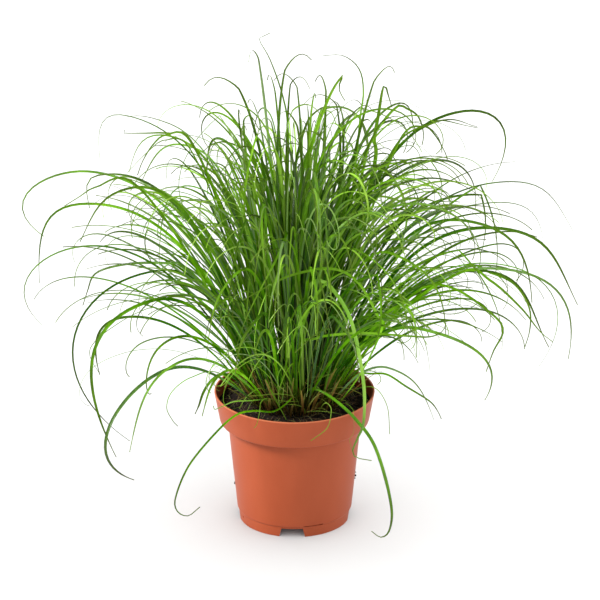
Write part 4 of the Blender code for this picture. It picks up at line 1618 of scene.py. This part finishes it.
@dataclass
class Clump:
    """The whole plant: its tillers, its shoots and all its leaves."""

    soil: PottingSoil
    radius: float = 31 * MM
    root_height: float = 93.8 * MM
    leaf_width: float = 2.5 * MM
    leaf_root_radius: float = 27 * MM
    leaf_root_stagger: float = 4 * MM
    tip_height: float = 390 * MM
    flare: tuple[float, float] = (0.6, 1.1)
    sheath_height: float = 36 * MM
    sheath_radius: float = 3.2 * MM
    blade_start: float = 0.7 * 36 * MM
    shoot_core: float = 1.3 * MM
    shoot_width: float = 2.4 * MM
    tip_curl: float = 1.4
    nod: float = 14 * MM
    nod_from: float = 0.86
    tillers: int = 82
    tiller_turn: float = 137.5
    dome: tuple[float, float, float] = (206 * MM, 181 * MM, 266 * MM)
    dome_power: float = 2.5
    dome_back: float = 0.3
    dome_limit: float = 1.02
    sizing: Span = (0.7, 1.35)
    hanging: float = 142 * MM
    hanging_low: float = 84 * MM
    hanging_share: float = 0.20
    front_hanging: float = 88 * MM
    pot_front: Span = (45 * MM, 78 * MM)
    side_gap: float = 16 * MM
    wall_gap: Span = (5 * MM, 3 * MM)
    rim_gap: float = 2 * MM
    thread_reach: Span = (54 * MM, 68 * MM)
    segments: int = 48
    routed_segments: int = 64
    seed: int = 59

    def __post_init__(self) -> None:
        """Start the clump's own random numbers, tree and material."""
        self.rng = np.random.default_rng(self.seed)
        self.twists = np.random.default_rng(self.seed + 1)
        self.sweep = BladeSweep()
        self.material = LEAF_FINISH.material()

    def turn(self) -> Turn:
        """A leaf's own turn about its line. More than half of them show their breadth to the front.

        Returns:
            The turn.
        """
        twists = self.twists
        roll = twists.normal(0, 0.4)
        twist = twists.choice((-1, 1)) * twists.uniform(0.3, 1.2)
        return Turn(roll, twist, twists.random() < 0.75)

    def tiller_place(self, index: int) -> tuple[float, float]:
        """A tiller's place in the clump: its distance from the middle and its direction."""
        reach = self.radius * math.sqrt((index + 0.5) / self.tillers)
        return reach, math.radians(self.tiller_turn * index)

    def sheath(self, foot: Vector, top: Vector, radius: float, tint: float, dry: float) -> Blade:
        """A sheath's tapering tube.

        Args:
            foot: Where it leaves the soil.
            top: Where its blades leave it.
            radius: Its radius at the soil.
            tint: Its green, from 0, deep, to 1, bright.
            dry: How withered it is, from 0 to 1.

        Returns:
            The tube.
        """
        share = np.linspace(0, 1, 7)
        points = np.outer(1 - share, foot) + np.outer(share, top)
        facing = np.tile((1.0, 0.0, 0.0), (len(share), 1))
        width = radius * (1 - 0.45 * share)
        brown = np.clip(1.15 - 1.3 * share, 0, 1)
        return Blade(points, facing, width, brown, np.full(len(share), dry), tint, is_round=True)

    @staticmethod
    def finished(points: np.ndarray, width: float, turn: Turn, tint: float, fullness: float = 6.5) -> Blade:
        """A blade with the usual widths and foot along a middle line.

        Args:
            points: The middle line, root first.
            width: The blade's greatest width.
            turn: How it is turned about its line.
            tint: Its green, from 0, deep, to 1, bright.
            fullness: How far out it stays wide.

        Returns:
            The blade.
        """
        runs = LeafShape.runs(points)
        share = runs / runs[-1]
        facing = LeafShape.facings(points, turn.roll + turn.twist * share**1.5, turn.to_front)
        widths = LeafShape.half_widths(share, width, fullness)
        foot = LeafShape.foot_share(points)
        return Blade(points, facing, widths, foot, np.zeros(len(points)), tint)

    @staticmethod
    def resampled(fine: np.ndarray, count: int) -> np.ndarray:
        """Evenly spaced points along a chain of close ones.

        Args:
            fine: The chain.
            count: How many segments to give it.

        Returns:
            The new points.
        """
        runs = LeafShape.runs(fine)
        wanted = np.linspace(0, runs[-1], count + 1)
        return np.column_stack([np.interp(wanted, runs, fine[:, i]) for i in range(3)])

    @staticmethod
    def bezier(points: tuple[Vector, Vector, Vector, Vector], steps: int) -> list[Vector]:
        """Points on a cubic Bezier curve, without its last one.

        Args:
            points: The curve's four control points.
            steps: How many points it gets.

        Returns:
            The points.
        """
        a, b, c, d = points
        shares = [i / steps for i in range(steps)]
        return [
            a * (1 - t) ** 3 + 3 * b * (1 - t) ** 2 * t + 3 * c * (1 - t) * t * t + d * t**3
            for t in shares
        ]

    def arch(self, leaf: ArchingLeaf, root_radius: float) -> list[Vector]:
        """The (reach, height) curve of an arching leaf: up to its crest and down to its tip.

        Args:
            leaf: The leaf.
            root_radius: How far from the axis it starts.

        Returns:
            The curve's points.
        """
        root = Vector((root_radius, self.root_height))
        crest = Vector((leaf.crest_reach, leaf.crest_height)) * MM
        tip = Vector((leaf.tip_reach, leaf.tip_height)) * MM
        bend = Vector((root.x + leaf.lean * (crest.x - root.x), crest.y))
        rise = (root, root.lerp(bend, 2 / 3), crest.lerp(bend, 2 / 3), crest)
        span = (tip - crest).length
        turn = math.radians(leaf.turn)
        heading = Vector((math.cos(turn), -math.sin(turn)))
        fall = (crest, crest + Vector((span / 2, 0)), tip - heading * leaf.hook * span, tip)
        return self.bezier(rise, 40) + self.bezier(fall, 40) + [tip]

    def arching_line(self, leaf: ArchingLeaf, root_radius: float) -> np.ndarray:
        """An arching leaf's middle line, which turns aside as it goes outwards.

        Args:
            leaf: The leaf.
            root_radius: How far from the axis it starts.

        Returns:
            The line's points.
        """
        curve = np.array([tuple(point) for point in self.arch(leaf, root_radius)])
        flat = np.column_stack([curve[:, 0], np.zeros(len(curve)), curve[:, 1]])
        even = self.resampled(flat, self.segments)
        share = np.linspace(0, 1, len(even))
        angle = np.radians(leaf.azimuth + leaf.swing * share**2)
        return np.column_stack([even[:, 0] * np.cos(angle), even[:, 0] * np.sin(angle), even[:, 2]])

    def routed_line(self, route: Route) -> np.ndarray:
        """The smooth middle line through a route's own points.

        Args:
            route: The route.

        Returns:
            The line's points.
        """
        points = [Vector(point) * MM for point in route.points]
        ends = [points[0] * 2 - points[1], *points, points[-1] * 2 - points[-2]]
        fine: list[Vector] = []
        for a, b, c, d in zip(ends, ends[1:], ends[2:], ends[3:]):
            fine += self.bezier((b, b + (c - a) / 6, c - (d - b) / 6, c), 24)
        return self.resampled(np.array([tuple(p) for p in [*fine, points[-1]]]), self.routed_segments)

    def shoot_axis(self, shoot: Shoot, height: float) -> Vector:
        """A point of a shoot's middle line, which leans outwards as the clump flares.

        Args:
            shoot: The shoot.
            height: The point's height.

        Returns:
            The point.
        """
        share = (height - self.soil.height) / (self.tip_height - self.soil.height)
        flare = 1 + self.flare[0] * share + self.flare[1] * share**2
        return Vector((shoot.x * MM * flare, shoot.y * MM * flare, height))

    def shoot_line(self, shoot: Shoot, blade: ShootBlade, azimuth: float) -> np.ndarray:
        """The middle line of one of a shoot's blades, from the sheath to its tip.

        Args:
            shoot: The shoot.
            blade: The blade.
            azimuth: The way it leans, in radians.

        Returns:
            The line's points.
        """
        start = self.root_height + self.blade_start
        top = self.soil.height + (shoot.height * MM - self.soil.height) * blade.height
        out = Vector((math.cos(azimuth), math.sin(azimuth), 0))
        line = []
        for i in range(self.segments + 1):
            share = i / self.segments
            height = start + (top - start) * (1 - (1 - share) ** self.tip_curl)
            over = max(0, share - self.nod_from) / (1 - self.nod_from)
            fan = self.shoot_core + blade.bend * MM * share**3 + self.nod * over
            line.append(tuple(self.shoot_axis(shoot, height - self.nod * over**3) + out * fan))
        return np.array(line)

    def build_shoots(self) -> None:
        """Build the shoots that stand for the solid ones, each with its sheath and five blades."""
        for i, shoot in enumerate(SHOOTS):
            foot = self.shoot_axis(shoot, self.root_height)
            top = self.shoot_axis(shoot, self.root_height + self.sheath_height)
            blades = [self.sheath(foot, top, self.sheath_radius, tint=0.4, dry=0.1)]
            for j, blade in enumerate(SHOOT_BLADES):
                azimuth = math.radians(shoot.azimuth + 360 * j / len(SHOOT_BLADES))
                line = self.shoot_line(shoot, blade, azimuth)
                tint = self.rng.uniform(0.05, 0.7)
                blades.append(self.finished(line, self.shoot_width, self.turn(), tint))
            piece = Bundle(blades).piece(f"sheathed_shoot_{i + 1:02d}", self.sweep, self.material)
            hand_over(piece, Slot.SHOOT, f"shoot_{i + 1:02d}")

    def build_arching_leaves(self) -> None:
        """Build the leaves that stand for the solid arching ones."""
        for i, leaf in enumerate(ARCHING_LEAVES):
            line = self.arching_line(leaf, self.leaf_root_radius + self.leaf_root_stagger * (i % 2))
            width = self.leaf_width * self.rng.uniform(0.75, 1.05)
            turn = self.turn()
            turn = Turn(2 * turn.roll, turn.twist, to_front=True)
            blade = self.finished(line, width, turn, self.rng.uniform(0.0, 0.5), fullness=8.0)
            piece = Bundle([blade]).piece(f"arching_leaf_{i + 1:02d}", self.sweep, self.material)
            hand_over(piece, Slot.LEAF, f"leaf_{i + 1:02d}")

    def build_routed_leaves(self) -> None:
        """Build the leaves that follow routes of their own."""
        for route in SOLID_ROUTES:
            turn = Turn(0.3, -0.5, to_front=True)
            line = self.routed_line(route)
            blade = self.finished(line, route.width * MM, turn, route.tint, fullness=7)
            piece = Bundle([blade]).piece(f"{route.name}_blade", self.sweep, self.material)
            hand_over(piece, Slot.LEAF, route.name)
        loose = []
        for route in LOOSE_ROUTES:
            turn = Turn(self.rng.normal(0, 0.4), self.rng.normal(0, 0.6), to_front=True)
            line = self.routed_line(route)
            loose.append(self.finished(line, route.width * MM, turn, route.tint, fullness=9))
        hand_over(Bundle(loose).piece("curling_leaves", self.sweep, self.material), Slot.LEAF)

    def line_by_habit(self, habit: Habit, root: np.ndarray, azimuth: float) -> np.ndarray:
        """Draw a leaf's middle line.

        Args:
            habit: How its part of the clump grows.
            root: Where it leaves the soil.
            azimuth: The direction in which it leans.

        Returns:
            The line, scaled so that it reaches its share of the dome.
        """
        rng = self.rng
        share = 1 - (1 - np.linspace(0, 1, self.segments + 1)) ** 1.35
        lean, bend = rng.uniform(*habit.lean), rng.uniform(*habit.bend)
        late = rng.uniform(*habit.late)
        curl = rng.choice((0.0, 1.0), p=(0.6, 0.4)) * rng.uniform(20, 120)
        rise = 0.4 + 0.6 * np.clip(share / 0.16, 0, 1)
        tip = np.clip((share - 0.75) / 0.25, 0, 1)
        angle = np.radians(lean * rise + bend * share**late + curl * tip**2)
        drift = np.radians(rng.normal(0, 22)) * share**2
        wave = np.radians(rng.normal(0, 3)) * np.sin(share * rng.uniform(3, 8) + rng.uniform(0, math.tau))
        if rng.random() < 0.06:
            angle = angle + np.radians(rng.uniform(50, 110)) * (share > rng.uniform(0.55, 0.85))
        heading = azimuth + drift + wave * share
        steps = np.diff(share) * rng.uniform(*habit.length) * MM
        aside = np.sin(angle)
        moves = np.column_stack([aside * np.cos(heading), aside * np.sin(heading), np.cos(angle)])
        line = np.vstack([np.zeros(3), np.cumsum(moves[1:] * steps[:, None], axis=0)])
        size = self.dome_share(line + root)
        wanted = rng.uniform(*habit.fill) / size
        smallest, largest = self.sizing
        return root + line * min(max(wanted, smallest), largest)

    def dome_share(self, line: np.ndarray) -> float:
        """How far the furthest point of a line is towards the dome that holds the plant, which is at 1.

        Args:
            line: The line's points, root first.

        Returns:
            The furthest point's share.
        """
        wide, deep, high = self.dome
        level = np.hypot(line[:, 0] / wide, line[:, 1] / deep)
        height = line[:, 2] + self.dome_back * np.clip(line[:, 1], 0, None)
        rise = np.clip((height - self.soil.height) / high, 0, None)
        return float(np.max((level**self.dome_power + rise**self.dome_power) ** (1 / self.dome_power)))

    def is_clear(self, line: np.ndarray) -> bool:
        """Whether a line stays in the dome, off the pot's wall and out from in front of the pot.

        Args:
            line: The line's points, root first.

        Returns:
            True if it does.
        """
        if self.dome_share(line) > self.dome_limit:
            return False
        reach = np.hypot(line[:, 0], line[:, 1])
        rim = self.soil.pot.rim_radius
        beside_wall = (reach > rim - self.wall_gap[0]) & (reach < rim + self.wall_gap[1])
        in_wall = beside_wall & (line[:, 2] < self.soil.pot.height + self.rim_gap)
        in_soil = (reach < rim) & (line[:, 2] < self.soil.height)
        low_side = line[-1, 0] < 0 and self.rng.random() < self.hanging_share
        lowest = self.hanging_low if low_side else self.hanging
        too_low = (line[:, 2] + 0.3 * np.minimum(line[:, 1], 0) < lowest) & (reach > rim + self.side_gap)
        if not self.is_welcome(line):
            return False
        before_pot = (line[:, 1] < -self.pot_front[0]) & (np.abs(line[:, 0]) < self.pot_front[1])
        drooping = before_pot & (line[:, 2] + BACK_RISE * line[:, 1] < self.front_hanging)
        return not (in_wall | in_soil | too_low | drooping)[2:].any()

    def is_welcome(self, line: np.ndarray) -> bool:
        """Whether a leaf is kept that spends a good part of its length where few grow.

        Args:
            line: The line's points, root first.

        Returns:
            True if it is kept.
        """
        seen = line[:, 2] + BACK_RISE * line[:, 1]
        for part in SPARSE:
            left, right = (side * MM for side in part.aside)
            low, high = (side * MM for side in part.upright)
            there = (line[:, 0] > left) & (line[:, 0] < right) & (seen > low) & (seen < high)
            if there.mean() > 0.1 and self.rng.random() > part.kept:
                return False
        return True

    def build_habits(self) -> None:
        """Build the leaves that fill the clump, one piece for each habit."""
        for habit in HABITS:
            blades: list[Blade] = []
            while len(blades) < habit.count:
                low, high = (round(self.tillers * share**2) for share in habit.roots)
                reach, place = self.tiller_place(int(self.rng.integers(low, high)))
                first, last = habit.sector
                if (math.degrees(place) - first) % 360 > last - first:
                    continue
                root = np.array((reach * math.cos(place), reach * math.sin(place), self.root_height))
                root[:2] += self.rng.normal(0, 1.3 * MM, 2)
                scatter = math.radians(24) + math.pi * max(0, 0.35 - reach / self.radius)
                line = self.line_by_habit(habit, root, place + self.rng.normal(0, scatter))
                if not self.is_clear(line):
                    continue
                width = self.rng.uniform(*habit.width) * MM
                blades.append(self.finished(line, width, self.turn(), self.rng.uniform(*habit.tint)))
            hand_over(Bundle(blades).piece(habit.name, self.sweep, self.material), Slot.LEAF)

    def bract(self, root: np.ndarray, azimuth: float, lean: float) -> Blade:
        """A short, pointed, brown or straw-coloured sheath leaf.

        Args:
            root: Where it leaves the soil.
            azimuth: The direction in which it leans.
            lean: Its angle from upright, in radians.

        Returns:
            The blade.
        """
        count = 8
        share = np.linspace(0, 1, count + 1)
        angle = lean + self.rng.uniform(-0.1, 0.45) * share**2
        step = self.rng.uniform(16, 52) * MM / count
        aside = np.sin(angle)
        moves = np.column_stack([aside * math.cos(azimuth), aside * math.sin(azimuth), np.cos(angle)])
        points = root + np.vstack([np.zeros(3), np.cumsum(moves[1:] * step, axis=0)])
        width = self.rng.uniform(1.1, 2.2) * MM
        plain = self.finished(points, width, Turn(self.rng.normal(0, 0.6), 0.3), tint=0.3)
        dry = self.rng.choice((0.0, 0.3, 0.8), p=(0.55, 0.3, 0.15))
        brown = np.clip(self.rng.uniform(1.0, 1.7) - 1.1 * share, 0, 1)
        return plain._replace(foot=brown, dry=np.full(len(share), dry) * share)

    def build_tillers(self) -> None:
        """Build the sheath leaves round the foot of all the tillers, as one piece."""
        blades = []
        for i in range(self.tillers):
            reach, place = self.tiller_place(i)
            lean = math.radians(2 + 34 * (reach / self.radius) ** 1.3)
            foot = np.array((reach * math.cos(place), reach * math.sin(place), self.root_height - 1.5 * MM))
            for _ in range(3):
                root = foot + np.array((*self.rng.normal(0, 1.2 * MM, 2), 0))
                azimuth = place + self.rng.normal(0, 0.5)
                blades.append(self.bract(root, azimuth, lean + self.rng.normal(0, 0.08)))
        hand_over(Bundle(blades).piece("tiller_sheaths", self.sweep, SHEATH_FINISH.material()), Slot.SHOOT)

    def withered_line(self) -> np.ndarray:
        """A short curly line that starts low in the clump and ends near the soil or the rim.

        Returns:
            The line's points.
        """
        rng = self.rng
        count = 16
        reach, place = self.tiller_place(int(rng.integers(round(0.25 * self.tillers), self.tillers)))
        height = self.root_height + rng.uniform(0, 8) * MM
        spot = np.array((reach * math.cos(place), reach * math.sin(place), height))
        heading, angle = place + rng.normal(0, 0.7), math.radians(rng.uniform(10, 75))
        step = rng.uniform(22, 84) * MM / count
        turn, droop = rng.normal(0, 0.12), rng.uniform(0.02, 0.16)
        points = [spot.copy()]
        for _ in range(count):
            move = (math.sin(angle) * math.cos(heading), math.sin(angle) * math.sin(heading), math.cos(angle))
            spot = spot + np.array(move) * step
            heading += turn
            angle += droop
            points.append(spot.copy())
        return np.array(points)

    def build_withered(self, count: int = 80) -> None:
        """Build the withered straw round the clump's foot, and the thin green threads among it.

        Args:
            count: How many threads there are.
        """
        blades: list[Blade] = []
        while len(blades) < count:
            line = self.withered_line()
            reach = np.hypot(line[:, 0], line[:, 1])
            on_soil, on_rim = self.thread_reach
            over_rim = (reach < on_rim) & (line[:, 2] > self.soil.pot.height + self.rim_gap)
            inside = over_rim | (reach < on_soil) & (line[:, 2] > self.soil.height + 0.6 * MM)
            if not inside[1:].all():
                continue
            tint, dry = self.rng.uniform(0.6, 1.0), self.rng.choice((0.0, 0.4, 1.0), p=(0.55, 0.3, 0.15))
            blades.append(Blade.thread(line, self.rng.uniform(0.18, 0.34) * MM, tint, dry))
        hand_over(Bundle(blades).piece("withered_threads", self.sweep, THREAD_FINISH.material()), Slot.LEAF)

    def build(self) -> None:
        """Build the whole plant."""
        self.build_shoots()
        self.build_arching_leaves()
        self.build_routed_leaves()
        self.build_tillers()
        self.build_habits()
        self.build_withered()


class Sun(NamedTuple):
    """A distant light: its strength, the angle in degrees that it fills, and where it stands."""

    name: str
    strength: float
    angle: float
    place: tuple[float, float, float]


@dataclass
class Studio:
    """The camera at the picture's angle, a white floor, and soft light mostly from the left."""

    target: tuple[float, float, float] = (4.1 * MM, 0, 175.2 * MM)
    distance: float = 5.0
    elevation: float = math.radians(23.1)
    pixels_per_metre: float = 1346
    picture_width: float = 600
    sensor: float = 36
    floor_size: float = 16
    backdrop: float = 1.0
    ambient: float = 0.62
    reflected: float = 0.27
    floor_light: float = 7.0
    floor_grey: float = 0.45
    suns: tuple[Sun, ...] = (Sun("key", 4.8, 20, (-1.6, -0.55, 1.5)), Sun("fill", 1.1, 50, (1.6, -0.6, 0.9)))

    def add_camera(self) -> None:
        """A long lens, level sideways, that looks along +Y and down on the plant."""
        camera = bpy.data.cameras.new("camera")
        camera.sensor_width = self.sensor
        camera.lens = self.pixels_per_metre * self.distance * self.sensor / self.picture_width
        camera.clip_end = 100
        stand = bpy.data.objects.new("camera", camera)
        back = Vector((0, -math.cos(self.elevation), math.sin(self.elevation))) * self.distance
        stand.location = Vector(self.target) + back
        stand.rotation_euler = (math.pi / 2 - self.elevation, 0, 0)
        bpy.context.scene.collection.objects.link(stand)
        bpy.context.scene.camera = stand

    def add_floor(self) -> bpy.types.Object:
        """A wide floor, lit so brightly by a light of its own that it looks white.

        Returns:
            The floor.
        """
        bm = bmesh.new()
        bmesh.ops.create_grid(bm, x_segments=1, y_segments=1, size=self.floor_size / 2)
        sketch = Sketch("white_floor")
        sketch.set(Roughness=0.9, Specular_IOR_Level=0.1)
        sketch.feed(sketch.shader.inputs["Base Color"], (self.floor_grey,) * 3)
        floor = add_piece("floor", mesh_from(bm, "floor"), sketch.material)
        return floor

    def add_suns(self, floor: bpy.types.Object) -> None:
        """Soft suns on the object alone, so that they throw no long shadows on the floor.

        Args:
            floor: The floor, which they leave out.
        """
        unlit = bpy.data.collections.new("unlit_by_suns")
        unlit.objects.link(floor)
        for sun in self.suns:
            light = bpy.data.lights.new(sun.name, "SUN")
            light.energy = sun.strength
            light.angle = math.radians(sun.angle)
            lamp = bpy.data.objects.new(sun.name, light)
            lamp.rotation_euler = Vector(sun.place).to_track_quat("Z", "Y").to_euler()
            bpy.context.scene.collection.objects.link(lamp)
            lamp.light_linking.receiver_collection = unlit
        unlit.collection_objects[0].light_linking.link_state = "EXCLUDE"

    def add_floor_light(self, floor: bpy.types.Object) -> None:
        """Light from the whole sky on the floor alone, which keeps it white round its contact shadow.

        Args:
            floor: The floor.
        """
        sky = bpy.data.lights.new("floor_light", "SUN")
        sky.energy = self.floor_light
        sky.angle = math.pi
        lamp = bpy.data.objects.new("floor_light", sky)
        bpy.context.scene.collection.objects.link(lamp)
        lit = bpy.data.collections.new("lit_floor")
        lit.objects.link(floor)
        lamp.light_linking.receiver_collection = lit

    def add_surround(self) -> None:
        """An even white surround: plain white to the camera, and weaker in reflections than as light."""
        world = bpy.data.worlds.new("surround")
        bpy.context.scene.world = world
        world.use_nodes = True
        nodes, links = world.node_tree.nodes, world.node_tree.links
        background = nodes["Background"]
        background.inputs["Color"].default_value = (1, 1, 1, 1)
        rays = nodes.new("ShaderNodeLightPath")
        strength = None
        for ray, level in (("Is Glossy Ray", self.reflected), ("Is Camera Ray", self.backdrop)):
            step = nodes.new("ShaderNodeMix")
            step.inputs["A"].default_value = self.ambient
            step.inputs["B"].default_value = level
            links.new(rays.outputs[ray], step.inputs["Factor"])
            if strength:
                links.new(strength, step.inputs["A"])
            strength = step.outputs["Result"]
        links.new(strength, background.inputs["Strength"])

    def build(self) -> None:
        """Set up the studio."""
        self.add_camera()
        floor = self.add_floor()
        self.add_suns(floor)
        self.add_floor_light(floor)
        self.add_surround()
        bpy.context.scene.view_settings.view_transform = "Standard"


def main() -> None:
    """Build the studio, the pot, the soil and the plant, and write how large they are."""
    Studio().build()
    pot = NurseryPot()
    pot.build()
    soil = PottingSoil(pot)
    clump = Clump(soil)
    soil.build(clump.sweep)
    clump.build()


if __name__ == "__main__":
    main()
